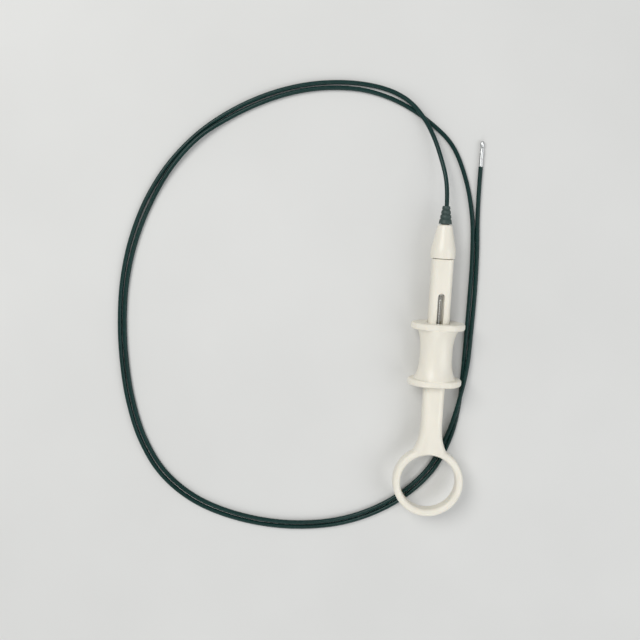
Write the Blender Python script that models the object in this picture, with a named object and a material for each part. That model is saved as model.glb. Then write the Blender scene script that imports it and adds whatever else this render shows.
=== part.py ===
"""Endoscopic biopsy forceps, single use: thumb ring handle, finger slider, 1150 mm sheath, swinging cups.

Metres, +Z up. The handle lies along Y with its tip end at +Y, and the origin is below its middle, on
the surface it lies on. The sheath lies in two loose loops beside it and ends at +Y.
"""

import bmesh
import bpy
from math import acos, atan2, ceil, cos, pi, radians, sin, sqrt, tau
from mathutils import Matrix, Vector

# Clearances
RUN_GAP = 0.0003  # between pieces that slide, and between moulded pieces
FIT_GAP = 0.0001  # between pieces pressed or clamped together
TIP_GAP = 0.00003  # round the pins of the tip
TIP_LAYER_GAP = 0.00004  # between the flat layers of the tip

# Thumb ring and neck
RING_RADIUS = 0.0154
RING_WIDTH = 0.0032
RING_THICKNESS = 0.0065
RING_ROUNDING = 0.0013
RING_TO_NECK = 0.0133
NECK_LENGTH = 0.0132
NECK_ROOT_WIDTH = 0.0150
NECK_CURVE = 2.4  # how quickly the neck narrows behind the ring

# Stem, measured along Y from the ring's centre
RING_TO_STEM_END = 0.0980
STEM_WIDTH = 0.0090
STEM_HEIGHT = 0.0084
STEM_CORNER = 0.0024
SPIGOT_RADIUS = 0.0034
SPIGOT_LENGTH = 0.0060
SLOT_WIDTH = 0.0028

# Finger slider: a spool in two halves
RING_TO_SLIDER = 0.0570
SLIDER_TRAVEL = 0.0220
FLANGE_SPACING = 0.0244
FLANGE_THICKNESS = 0.0028
FLANGE_HALF_WIDTH = 0.0116
FLANGE_HALF_HEIGHT = 0.0098
FLANGE_FLAT = 0.0085  # from the axis to the flats, on which the handle rests
FLANGE_ROUNDING = 0.0008
WAIST_HALF_WIDTH = 0.0070
WAIST_HALF_HEIGHT = 0.0066
WAIST_FLARE = 0.0020
WAIST_FLARE_POWER = 3
PEG_RADIUS = 0.0006
PEG_LENGTH = 0.0030
PEG_FROM_AXIS = 0.0082

# Wire anchor inside the slider
ANCHOR_WIDTH = 0.0022
ANCHOR_LENGTH = 0.0060
ANCHOR_HALF_HEIGHT = 0.0055
SCREW_RADIUS = 0.0008
SCREW_LENGTH = 0.0042
SCREW_SLOT = 0.0003
PIPE_RADIUS = 0.0006
PIPE_BORE = 0.0003
GUIDE_RADIUS = 0.0019

# Nose cap, ferrule and strain relief
CAP_WALL = 0.0005  # between the ferrule and the boot's spigot
CAP_STRAIGHT_LENGTH = 0.0036
CAP_REAR_RADIUS = 0.0053
CAP_FRONT_RADIUS = 0.0032
CAP_ROUNDING = 0.0010
FERRULE_RADIUS = 0.0016
FERRULE_LENGTH = 0.0040
FERRULE_FROM_SPIGOT = 0.0024
BOOT_LENGTH = 0.0075
BOOT_REAR_RADIUS = 0.0028
BOOT_FRONT_RADIUS = 0.0016
BOOT_SPIGOT_RADIUS = 0.0017
BOOT_SPIGOT_LENGTH = 0.0016
BOOT_GROOVES = 3
BOOT_GROOVE_DEPTH = 0.0003
BOOT_GROOVE_WIDTH = 0.0006

# Sheath
SHEATH_RADIUS = 0.000925
SHEATH_STRAIGHT = 0.0035  # from the boot to the first bend

# Tip, measured from the pivot: X across, Y forward, Z along the pivot
HOUSING_RADIUS = 0.00095
HOUSING_REAR = 0.0037
HOUSING_NOSE = 0.0008
FORK_DEPTH = 0.0032
FORK_HALF_OPENING = 0.00062
TIP_BORE = 0.0007
COLLAR_RADIUS = 0.00093
COLLAR_LENGTH = 0.0032
PIN_RADIUS = 0.00022
PIN_HALF_LENGTH = 0.00092
CUP_RADIUS = 0.00093
CUP_REAR = 0.0009
CUP_LENGTH = 0.0030
CUP_WALL = 0.00017
CUP_SQUARENESS = 2.6
CUP_MEETING_GAP = 0.00002
WINDOW_HALF_LENGTH = 0.00065
WINDOW_HALF_WIDTH = 0.00030
HUB_RADIUS = 0.00046
ARM_END_RADIUS = 0.00027
ARM_SIDE = 0.00050
ARM_REACH = 0.00130
TAIL_THICKNESS = 0.00032
TAIL_LENGTH = 0.00145
TAIL_EYE_RADIUS = 0.00034
TAIL_ANGLE = radians(21)
RIVET_RADIUS = 0.00017
RIVET_HEAD_RADIUS = 0.00032
RIVET_HEAD_THICKNESS = 0.00008
LINK_EYE_RADIUS = 0.00030
LINK_EYE_THICKNESS = 0.00012
LINK_RADIUS = 0.00012
LINK_LENGTH = 0.0037
LINK_ANGLE = radians(9.74)
LINK_STEM_START = 0.00024
LINK_STRAIGHT = 0.00085
LINK_BEND_END = 0.00170

# Resolution
ROUND_STEPS = 28
RING_STEPS = 56
SECTION_STEPS = 36
NECK_STEPS = 8
WAIST_STEPS = 8
EDGE_STEPS = 4
SMALL_STEPS = 16
PEG_STEPS = 12
TIP_STEPS = 24
CUP_STEPS = 10
LINK_STEPS = 12
SHARP_ANGLE = radians(35)
WELD_DISTANCE = 1e-8

# Places that follow from the sizes
AXIS_Z = FLANGE_FLAT
FERRULE_FROM_STEM = SPIGOT_LENGTH + FERRULE_FROM_SPIGOT
CAP_Y_FROM_STEM = RUN_GAP
CAP_LENGTH = (
    FERRULE_FROM_STEM - CAP_Y_FROM_STEM + FERRULE_LENGTH + CAP_WALL + BOOT_SPIGOT_LENGTH
)
HANDLE_LENGTH = (
    RING_RADIUS + RING_TO_STEM_END + CAP_Y_FROM_STEM + CAP_LENGTH + RUN_GAP + BOOT_LENGTH
)
RING_Y = RING_RADIUS - HANDLE_LENGTH / 2
STEM_END_Y = RING_Y + RING_TO_STEM_END
SLIDER_Y = RING_Y + RING_TO_SLIDER
CAP_Y = STEM_END_Y + CAP_Y_FROM_STEM
CAP_END_Y = CAP_Y + CAP_LENGTH
FERRULE_Y = STEM_END_Y + FERRULE_FROM_STEM
BOOT_Y = CAP_END_Y + RUN_GAP
BOOT_END_Y = BOOT_Y + BOOT_LENGTH
SLOT_REAR_Y = SLIDER_Y - ANCHOR_LENGTH / 2 - SLOT_WIDTH / 2
SLOT_FRONT_Y = SLIDER_Y + SLIDER_TRAVEL + ANCHOR_LENGTH / 2 + SLOT_WIDTH / 2
GUIDE_START_Y = SLOT_FRONT_Y - SLOT_WIDTH / 4
GUIDE_END_Y = STEM_END_Y + SPIGOT_LENGTH
PIPE_REAR_Y = SLIDER_Y - ANCHOR_LENGTH / 2
PIPE_FRONT_Y = FERRULE_Y - SLIDER_TRAVEL - RUN_GAP

# The sheath's centre line, from the ferrule in the nose cap to the tip
FLOOR_Z = 0.00097
SHEATH_ROUTE = [
    (0.0, FERRULE_Y + FIT_GAP, AXIS_Z),
    (0.0, BOOT_END_Y + SHEATH_STRAIGHT, AXIS_Z),
    (-0.0009, 0.0795, 0.0074),
    (-0.0033, 0.0880, 0.0052),
    (-0.0067, 0.0965, 0.0037),
    (-0.0113, 0.1041, 0.0030),
    (-0.0176, 0.1106, 0.0021),
    (-0.0252, 0.1146, 0.0012),
    (-0.0369, 0.1170, FLOOR_Z),
    (-0.0508, 0.1171, FLOOR_Z),
    (-0.0648, 0.1149, FLOOR_Z),
    (-0.0789, 0.1103, FLOOR_Z),
    (-0.0934, 0.1029, FLOOR_Z),
    (-0.1068, 0.0930, FLOOR_Z),
    (-0.1190, 0.0795, FLOOR_Z),
    (-0.1282, 0.0638, FLOOR_Z),
    (-0.1344, 0.0463, FLOOR_Z),
    (-0.1376, 0.0288, FLOOR_Z),
    (-0.1383, 0.0112, FLOOR_Z),
    (-0.1371, -0.0066, FLOOR_Z),
    (-0.1340, -0.0245, FLOOR_Z),
    (-0.1282, -0.0420, FLOOR_Z),
    (-0.1186, -0.0574, FLOOR_Z),
    (-0.1036, -0.0693, FLOOR_Z),
    (-0.0824, -0.0769, FLOOR_Z),
    (-0.0578, -0.0793, FLOOR_Z),
    (-0.0336, -0.0756, FLOOR_Z),
    (-0.0124, -0.0652, FLOOR_Z),
    (0.0026, -0.0505, FLOOR_Z),
    (0.0099, -0.0345, FLOOR_Z),
    (0.0126, -0.0200, FLOOR_Z),
    (0.0133, -0.0050, FLOOR_Z),
    (0.0136, 0.0120, FLOOR_Z),
    (0.0138, 0.0290, FLOOR_Z),
    (0.0137, 0.0460, FLOOR_Z),
    (0.0124, 0.0635, FLOOR_Z),
    (0.0085, 0.0795, FLOOR_Z),
    (0.0016, 0.0936, FLOOR_Z),
    (-0.0090, 0.1030, FLOOR_Z),
    (-0.0222, 0.1104, FLOOR_Z),
    (-0.0363, 0.1144, FLOOR_Z),
    (-0.0508, 0.1148, FLOOR_Z),
    (-0.0643, 0.1127, FLOOR_Z),
    (-0.0781, 0.1081, FLOOR_Z),
    (-0.0925, 0.1008, 0.0012),
    (-0.1060, 0.0914, 0.0022),
    (-0.1172, 0.0785, 0.0018),
    (-0.1259, 0.0628, FLOOR_Z),
    (-0.1321, 0.0457, FLOOR_Z),
    (-0.1354, 0.0286, FLOOR_Z),
    (-0.1362, 0.0114, FLOOR_Z),
    (-0.1350, -0.0062, FLOOR_Z),
    (-0.1319, -0.0238, FLOOR_Z),
    (-0.1262, -0.0410, FLOOR_Z),
    (-0.1168, -0.0560, FLOOR_Z),
    (-0.1022, -0.0675, FLOOR_Z),
    (-0.0817, -0.0748, FLOOR_Z),
    (-0.0577, -0.0772, FLOOR_Z),
    (-0.0344, -0.0736, FLOOR_Z),
    (-0.0141, -0.0637, FLOOR_Z),
    (0.0006, -0.0493, FLOOR_Z),
    (0.0085, -0.0325, 0.0016),
    (0.0124, -0.0160, 0.0032),
    (0.0148, -0.0020, 0.0025),
    (0.0157, 0.0140, 0.0011),
    (0.0160, 0.0310, FLOOR_Z),
    (0.0157, 0.0480, FLOOR_Z),
    (0.0148, 0.0630, FLOOR_Z),
    (0.0145, 0.0740, FLOOR_Z),
    (0.0145, 0.0851, FLOOR_Z),
]
SHEATH_LONGEST_STEP = 0.0220
PIVOT_FROM_SHEATH = FIT_GAP / 2 + COLLAR_LENGTH + FIT_GAP / 2 + HOUSING_REAR
PIVOT = Vector(SHEATH_ROUTE[-1]) + Vector((0, PIVOT_FROM_SHEATH, 0))


def material(name, colour, roughness, metallic=0.0):
    """A Principled material of one colour."""
    made = bpy.data.materials.new(name)
    made.use_nodes = True
    made.diffuse_color = (*colour, 1)
    shader = made.node_tree.nodes["Principled BSDF"]
    shader.inputs["Base Color"].default_value = (*colour, 1)
    shader.inputs["Roughness"].default_value = roughness
    shader.inputs["Metallic"].default_value = metallic
    return made


def piece(name, bm, finish=None, at=(0, 0, 0)):
    """Turn a bmesh into an object of the scene, smooth where it is round."""
    bmesh.ops.remove_doubles(bm, verts=bm.verts, dist=WELD_DISTANCE)
    bmesh.ops.recalc_face_normals(bm, faces=bm.faces)
    mesh = bpy.data.meshes.new(name)
    bm.to_mesh(mesh)
    bm.free()
    mesh.shade_smooth()
    mesh.set_sharp_from_angle(angle=SHARP_ANGLE)
    made = bpy.data.objects.new(name, mesh)
    made.location = at
    bpy.context.scene.collection.objects.link(made)
    if finish:
        mesh.materials.append(finish)
    return made


def combine(target, tool, operation="DIFFERENCE"):
    """Cut or join target with tool, which stays in the scene as a wire guide."""
    modifier = target.modifiers.new(tool.name, "BOOLEAN")
    modifier.operation = operation
    modifier.solver = "EXACT"
    modifier.object = tool
    tool.hide_render = True
    tool.display_type = "WIRE"


def closed_chain(bm, points):
    """Vertices at the points, joined by edges in a closed chain."""
    verts = [bm.verts.new(p) for p in points]
    edges = [bm.edges.new((a, b)) for a, b in zip(verts, verts[1:] + verts[:1])]
    return verts + edges


def turned(profile, steps=ROUND_STEPS):
    """A solid turned about Y from a closed profile of (radius, y) points."""
    bm = bmesh.new()
    chain = closed_chain(bm, [(r, y, 0) for r, y in profile])
    bmesh.ops.spin(
        bm, geom=chain, cent=(0, 0, 0), axis=(0, 1, 0), angle=tau, steps=steps, use_merge=True
    )
    bmesh.ops.remove_doubles(bm, verts=bm.verts, dist=WELD_DISTANCE)
    on_axis = [e for e in bm.edges if not e.link_faces]
    bmesh.ops.delete(bm, geom=on_axis, context="EDGES")
    return bm


def rod(radius, start, end, steps=TIP_STEPS):
    """A plain round bar along Y."""
    return turned([(0, start), (radius, start), (radius, end), (0, end)], steps)


def tube(radius, bore, start, end, steps=TIP_STEPS):
    """A plain tube along Y."""
    return turned([(bore, start), (radius, start), (radius, end), (bore, end)], steps)


def upright(bm):
    """Turn a shape made along Y to stand along Z."""
    bmesh.ops.rotate(bm, cent=(0, 0, 0), matrix=Matrix.Rotation(radians(90), 3, "X"), verts=bm.verts)
    return bm


def prism(outline, bottom, top):
    """A flat outline of (x, y) points, extruded from bottom to top along Z."""
    bm = bmesh.new()
    face = bm.faces.new([bm.verts.new((x, y, bottom)) for x, y in outline])
    grown = bmesh.ops.extrude_face_region(bm, geom=[face])["geom"]
    raised = [v for v in grown if isinstance(v, bmesh.types.BMVert)]
    bmesh.ops.translate(bm, verts=raised, vec=(0, 0, top - bottom))
    return bm


def block(x, y, z):
    """A box given by its (low, high) along each axis."""
    return prism([(x[0], y[0]), (x[1], y[0]), (x[1], y[1]), (x[0], y[1])], *z)


def loft(sections):
    """A solid through rings of points that all have the same count, with flat ends."""
    bm = bmesh.new()
    rings = [[bm.verts.new(p) for p in section] for section in sections]
    for ring, following in zip(rings, rings[1:]):
        for i, vert in enumerate(ring):
            j = (i + 1) % len(ring)
            bm.faces.new((vert, ring[j], following[j], following[i]))
    bm.faces.new(rings[0])
    bm.faces.new(rings[-1])
    return bm


def arc(centre, radius, start, end, steps):
    """Points on an arc, both ends included."""
    turn = (end - start) / steps
    return [
        (centre[0] + radius * cos(start + turn * i), centre[1] + radius * sin(start + turn * i))
        for i in range(steps + 1)
    ]


def circle(radius, steps):
    """Points all round a circle about (0, 0)."""
    return arc((0, 0), radius, 0, tau * (steps - 1) / steps, steps - 1)


def rounded_rectangle(width, height, corner, steps=EDGE_STEPS):
    """A rectangle about (0, 0) with round corners."""
    points = []
    for quarter in range(4):
        side = 1 if quarter in (0, 3) else -1
        level = 1 if quarter in (0, 1) else -1
        centre = (side * (width / 2 - corner), level * (height / 2 - corner))
        points += arc(centre, corner, quarter * pi / 2, (quarter + 1) * pi / 2, steps)
    return points


def tapered_bar(start, start_radius, end, end_radius, steps=10):
    """The outline of two round ends joined by straight sides that touch both."""
    dx, dy = end[0] - start[0], end[1] - start[1]
    heading = atan2(dy, dx)
    lean = acos((start_radius - end_radius) / sqrt(dx * dx + dy * dy))
    return arc(start, start_radius, heading + lean, heading + tau - lean, steps) + arc(
        end, end_radius, heading - lean, heading + lean, steps
    )


def stadium(width, low, high, steps=8):
    """A slot's outline along Y with round ends."""
    r = width / 2
    return tapered_bar((0, low + r), r, (0, high - r), r, steps)


def handle_body(finish):
    """Thumb ring, flared neck, slotted stem and front spigot, moulded in one."""
    ring_bm = bmesh.new()
    middle = RING_RADIUS - RING_WIDTH / 2
    section = rounded_rectangle(RING_WIDTH, RING_THICKNESS, RING_ROUNDING)
    chain = closed_chain(ring_bm, [(middle + r, 0, z) for r, z in section])
    bmesh.ops.spin(
        ring_bm, geom=chain, cent=(0, 0, 0), axis=(0, 0, 1), angle=tau, steps=RING_STEPS, use_merge=True
    )
    body = piece("handle_body", ring_bm, finish, (0, RING_Y, AXIS_Z))

    sections = []
    neck_height = RING_THICKNESS - 2 * FIT_GAP
    for i in range(NECK_STEPS + 1):
        share = i / NECK_STEPS
        ease = share * share * (3 - 2 * share)
        width = STEM_WIDTH + (NECK_ROOT_WIDTH - STEM_WIDTH) * (1 - share) ** NECK_CURVE
        height = neck_height + (STEM_HEIGHT - neck_height) * ease
        y = RING_TO_NECK + NECK_LENGTH * share
        sections.append([(x, y, z) for x, z in rounded_rectangle(width, height, STEM_CORNER)])
    sections.append([(x, RING_TO_STEM_END, z) for x, y, z in sections[-1]])
    stem = piece("stem_guide_shape", loft(sections), None, body.location)
    combine(body, stem, "UNION")

    spigot = rod(SPIGOT_RADIUS, RING_TO_STEM_END - RUN_GAP, RING_TO_STEM_END + SPIGOT_LENGTH)
    combine(body, piece("spigot_shape", spigot, None, body.location), "UNION")

    slot = prism(stadium(SLOT_WIDTH, SLOT_REAR_Y, SLOT_FRONT_Y), 0, 2 * AXIS_Z)
    combine(body, piece("slot_cutter", slot))

    guide_seat = rod(GUIDE_RADIUS + FIT_GAP, GUIDE_START_Y - FIT_GAP, GUIDE_END_Y + SPIGOT_LENGTH)
    combine(body, piece("guide_seat_cutter", guide_seat, None, (0, 0, AXIS_Z)))
    return body


def stem_guide(finish):
    """Long bush from the slot's front end to the spigot's, in which the wire pipe slides."""
    bush = tube(GUIDE_RADIUS, PIPE_RADIUS + RUN_GAP, GUIDE_START_Y, GUIDE_END_Y)
    return piece("stem_guide", bush, finish, (0, 0, AXIS_Z))


def nose_cap(finish):
    """Tapered cap on the spigot, stepped inside for the spigot, the ferrule and the boot."""
    front = CAP_LENGTH
    pocket = SPIGOT_LENGTH
    wall_back = FERRULE_FROM_STEM - CAP_Y_FROM_STEM + FERRULE_LENGTH + FIT_GAP
    corner = arc((CAP_FRONT_RADIUS - CAP_ROUNDING, front - CAP_ROUNDING), CAP_ROUNDING, 0, pi / 2, EDGE_STEPS)
    edge = RUN_GAP
    profile = [
        (SPIGOT_RADIUS + FIT_GAP, 0),
        (CAP_REAR_RADIUS - edge, 0),
        (CAP_REAR_RADIUS, edge),
        (CAP_REAR_RADIUS, CAP_STRAIGHT_LENGTH),
        *corner,
        (BOOT_SPIGOT_RADIUS + FIT_GAP, front),
        (BOOT_SPIGOT_RADIUS + FIT_GAP, front - BOOT_SPIGOT_LENGTH - FIT_GAP),
        (SHEATH_RADIUS + RUN_GAP, front - BOOT_SPIGOT_LENGTH - FIT_GAP),
        (SHEATH_RADIUS + RUN_GAP, wall_back),
        (FERRULE_RADIUS + FIT_GAP, wall_back),
        (FERRULE_RADIUS + FIT_GAP, pocket),
        (SPIGOT_RADIUS + FIT_GAP, pocket),
    ]
    return piece("nose_cap", turned(profile), finish, (0, CAP_Y, AXIS_Z))


def sheath_ferrule(finish):
    """Metal tube crimped on the rear end of the sheath."""
    sleeve = tube(FERRULE_RADIUS, SHEATH_RADIUS + FIT_GAP, 0, FERRULE_LENGTH)
    return piece("sheath_ferrule", sleeve, finish, (0, FERRULE_Y, AXIS_Z))


def strain_relief_boot(finish):
    """Soft tapered sleeve with grooves round it, plugged into the cap."""
    bore = SHEATH_RADIUS + RUN_GAP

    def radius(y):
        return BOOT_REAR_RADIUS + (BOOT_FRONT_RADIUS - BOOT_REAR_RADIUS) * y / BOOT_LENGTH

    profile = [
        (bore, -BOOT_SPIGOT_LENGTH),
        (BOOT_SPIGOT_RADIUS, -BOOT_SPIGOT_LENGTH),
        (BOOT_SPIGOT_RADIUS, 0),
        (radius(0), 0),
    ]
    for i in range(BOOT_GROOVES):
        start = BOOT_LENGTH * (i + 1) / (BOOT_GROOVES + 1)
        end = start + BOOT_GROOVE_WIDTH
        profile += [
            (radius(start), start),
            (radius(start) - BOOT_GROOVE_DEPTH, start),
            (radius(end) - BOOT_GROOVE_DEPTH, end),
            (radius(end), end),
        ]
    profile += [(radius(BOOT_LENGTH), BOOT_LENGTH), (bore, BOOT_LENGTH)]
    return piece("strain_relief_boot", turned(profile), finish, (0, BOOT_Y, AXIS_Z))


def spool_sections():
    """Sections of the slider along Y: two rounded flanges and a waist that flares to them."""
    rows = []
    half_gap = FLANGE_SPACING / 2 - FLANGE_THICKNESS / 2
    for side in (-1, 1):
        edge = []
        for i in range(EDGE_STEPS + 1):
            turn = pi / 2 * i / EDGE_STEPS
            back = FLANGE_THICKNESS / 2 - FLANGE_ROUNDING * (1 - cos(turn))
            inset = FLANGE_ROUNDING * (1 - sin(turn))
            edge.append((side * (FLANGE_SPACING / 2 + back), inset))
        inner = [(side * FLANGE_SPACING - y, inset) for y, inset in reversed(edge)]
        for y, inset in edge + inner:
            width, height = FLANGE_HALF_WIDTH - inset, FLANGE_HALF_HEIGHT - inset
            rows.append((y, width, height, FLANGE_FLAT - inset))
    for i in range(WAIST_STEPS + 1):
        share = 2 * i / WAIST_STEPS - 1
        flare = WAIST_FLARE * abs(share) ** WAIST_FLARE_POWER
        width, height = WAIST_HALF_WIDTH + flare, WAIST_HALF_HEIGHT + flare
        rows.append((share * half_gap, width, height, FLANGE_FLAT))
    rows.sort(key=lambda row: (round(row[0], 7), row[1] if row[0] > 0 else -row[1]))
    return rows


def spool():
    """The slider's outer form, about its own centre."""
    sections = []
    for y, width, height, flat in spool_sections():
        ring = []
        for i in range(SECTION_STEPS):
            turn = tau * (i + 0.5) / SECTION_STEPS
            z = max(-flat, min(flat, height * sin(turn)))
            ring.append((width * cos(turn), y, z))
        sections.append(ring)
    return loft(sections)


def slider_half(name, side, finish):
    """One half of the slider, split at the level of the axis, with room for the stem and anchor."""
    at = (0, SLIDER_Y, AXIS_Z)
    half = piece(name, spool(), finish, at)
    reach = FLANGE_SPACING
    other = sorted((side * RUN_GAP / 2, -side * 2 * AXIS_Z))
    combine(half, piece(name + "_split", block((-reach, reach), (-reach, reach), other), None, at))
    channel_outline = rounded_rectangle(
        STEM_WIDTH + 2 * RUN_GAP, STEM_HEIGHT + 2 * RUN_GAP, STEM_CORNER
    )
    channel = loft([[(x, y, z) for x, z in channel_outline] for y in (-reach, reach)])
    combine(half, piece(name + "_channel", channel, None, at))
    pocket_x = ANCHOR_WIDTH / 2 + RUN_GAP
    pocket_y = ANCHOR_LENGTH / 2 + FIT_GAP
    pocket_z = sorted((0, side * (ANCHOR_HALF_HEIGHT + RUN_GAP)))
    pocket = block((-pocket_x, pocket_x), (-pocket_y, pocket_y), pocket_z)
    combine(half, piece(name + "_pocket", pocket, None, at))
    for i, (x, y) in enumerate(peg_places()):
        if side > 0:
            peg = upright(rod(PEG_RADIUS, -PEG_LENGTH, RUN_GAP, PEG_STEPS))
            combine(half, piece(f"peg_{i}", peg, None, (x, SLIDER_Y + y, AXIS_Z)), "UNION")
        else:
            socket = upright(rod(PEG_RADIUS + FIT_GAP, -PEG_LENGTH - RUN_GAP, 0, PEG_STEPS))
            combine(half, piece(f"socket_{i}", socket, None, (x, SLIDER_Y + y, AXIS_Z)))
    return half


def peg_places():
    """Where the upper half's pegs enter the lower half, at the corners of both flanges."""
    return [(x * PEG_FROM_AXIS, y * FLANGE_SPACING / 2) for x in (-1, 1) for y in (-1, 1)]


def anchor_block(finish):
    """Metal block that rides in the stem's slot, bored for the wire pipe and the screw."""
    width = (-ANCHOR_WIDTH / 2, ANCHOR_WIDTH / 2)
    length = (-ANCHOR_LENGTH / 2, ANCHOR_LENGTH / 2)
    height = (-ANCHOR_HALF_HEIGHT, ANCHOR_HALF_HEIGHT)
    at = (0, SLIDER_Y, AXIS_Z)
    made = piece("anchor_block", block(width, length, height), finish, at)
    bore = rod(PIPE_RADIUS + FIT_GAP, -ANCHOR_LENGTH, ANCHOR_LENGTH, SMALL_STEPS)
    combine(made, piece("anchor_bore", bore, None, at))
    hole = upright(rod(SCREW_RADIUS + FIT_GAP, 0, 2 * ANCHOR_HALF_HEIGHT, SMALL_STEPS))
    combine(made, piece("screw_hole", hole, None, at))
    return made


def anchor_screw(finish):
    """Slotted set screw that presses on the wire pipe."""
    screw = upright(rod(SCREW_RADIUS, 0, SCREW_LENGTH, SMALL_STEPS))
    at = (0, SLIDER_Y, AXIS_Z + PIPE_RADIUS + FIT_GAP)
    made = piece("anchor_screw", screw, finish, at)
    groove = block(
        (-2 * SCREW_RADIUS, 2 * SCREW_RADIUS),
        (-SCREW_SLOT / 2, SCREW_SLOT / 2),
        (SCREW_LENGTH - 2 * SCREW_SLOT, 2 * SCREW_LENGTH),
    )
    combine(made, piece("screw_groove", groove, None, at))
    return made


def wire_pipe(finish):
    """Stiff tube on the rear end of the pull wire."""
    pipe = tube(PIPE_RADIUS, PIPE_BORE, 0, PIPE_FRONT_Y - PIPE_REAR_Y, SMALL_STEPS)
    return piece("wire_pipe", pipe, finish, (0, PIPE_REAR_Y, AXIS_Z))


def curve_point(before, start, end, after, share):
    """A point of the centripetal Catmull-Rom curve between start and end."""
    knots = [0.0]
    for a, b in ((before, start), (start, end), (end, after)):
        knots.append(knots[-1] + sqrt((b - a).length))
    t = knots[1] + (knots[2] - knots[1]) * share

    def between(a, b, low, high):
        return a * ((high - t) / (high - low)) + b * ((t - low) / (high - low))

    first = between(before, start, knots[0], knots[1])
    second = between(start, end, knots[1], knots[2])
    third = between(end, after, knots[2], knots[3])
    early = between(first, second, knots[0], knots[2])
    late = between(second, third, knots[1], knots[3])
    return between(early, late, knots[1], knots[2])


def smooth_route(route, longest):
    """Points on a smooth curve through the route, about longest apart at most, none below the floor."""
    points = [Vector(p) for p in route]
    ends = [2 * points[0] - points[1]] + points + [2 * points[-1] - points[-2]]
    smooth = []
    for before, start, end, after in zip(ends, ends[1:], ends[2:], ends[3:]):
        count = ceil((end - start).length / longest)
        smooth += [curve_point(before, start, end, after, i / count) for i in range(count)]
    for point in smooth:
        point.z = max(point.z, FLOOR_Z)
    return smooth + [points[-1]]


def sheath(finish):
    """The whole sheath as one tube along its route."""
    curve = bpy.data.curves.new("sheath", "CURVE")
    curve.dimensions = "3D"
    curve.bevel_depth = SHEATH_RADIUS
    curve.bevel_resolution = 2
    curve.use_fill_caps = True
    points = smooth_route(SHEATH_ROUTE, SHEATH_LONGEST_STEP)
    spline = curve.splines.new("POLY")
    spline.points.add(len(points) - 1)
    for place, point in zip(spline.points, points):
        place.co = (*point, 1)
    curve.materials.append(finish)
    made = bpy.data.objects.new("sheath", curve)
    bpy.context.scene.collection.objects.link(made)
    return made


def tip_collar(finish):
    """Tube welded between the sheath's front end and the housing."""
    start = -HOUSING_REAR - FIT_GAP / 2 - COLLAR_LENGTH
    return piece("tip_collar", tube(COLLAR_RADIUS, TIP_BORE, start, start + COLLAR_LENGTH), finish, PIVOT)


def tip_housing(finish):
    """Forked housing: a bored tube behind, and two cheeks with round noses that hold the pin."""
    made = piece("tip_housing", rod(HOUSING_RADIUS, -HOUSING_REAR, HOUSING_NOSE), finish, PIVOT)
    wide = 2 * HOUSING_RADIUS
    nose = arc((0, 0), HOUSING_NOSE, 0, pi, SMALL_STEPS)
    outline = [(-wide, 0), (-wide, -2 * HOUSING_REAR), (wide, -2 * HOUSING_REAR), (wide, 0), *nose]
    combine(made, piece("housing_outline", prism(outline, -wide, wide), None, PIVOT), "INTERSECT")
    opening = (-FORK_HALF_OPENING, FORK_HALF_OPENING)
    fork = block((-wide, wide), (-FORK_DEPTH, wide), opening)
    combine(made, piece("fork_cutter", fork, None, PIVOT))
    bore = rod(TIP_BORE, -2 * HOUSING_REAR, -FORK_DEPTH + FIT_GAP)
    combine(made, piece("housing_bore", bore, None, PIVOT))
    hole = upright(rod(PIN_RADIUS + TIP_GAP, -wide, wide))
    combine(made, piece("housing_pin_hole", hole, None, PIVOT))
    return made


def pivot_pin(finish):
    """Pin on which both cups turn."""
    return piece("pivot_pin", upright(rod(PIN_RADIUS, -PIN_HALF_LENGTH, PIN_HALF_LENGTH)), finish, PIVOT)


def egg(radius, start, end):
    """A blunt egg turned about Y, from start to end."""
    middle, half = (start + end) / 2, (end - start) / 2
    profile = []
    for i in range(CUP_STEPS + 1):
        share = -cos(pi * i / CUP_STEPS)
        fullness = max(0.0, 1 - abs(share) ** CUP_SQUARENESS) ** (1 / CUP_SQUARENESS)
        profile.append((radius * fullness, middle + half * share))
    return turned(profile, TIP_STEPS)


def cup_places(side):
    """Where a cup's tail eye is, from the pivot. The left cup's tail crosses to the right."""
    return (-side * TAIL_LENGTH * sin(TAIL_ANGLE), -TAIL_LENGTH * cos(TAIL_ANGLE))


def layer(level, bottom, top):
    """A height range above the middle plane, or its mirror image below it."""
    return sorted((level * bottom, level * top))


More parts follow.
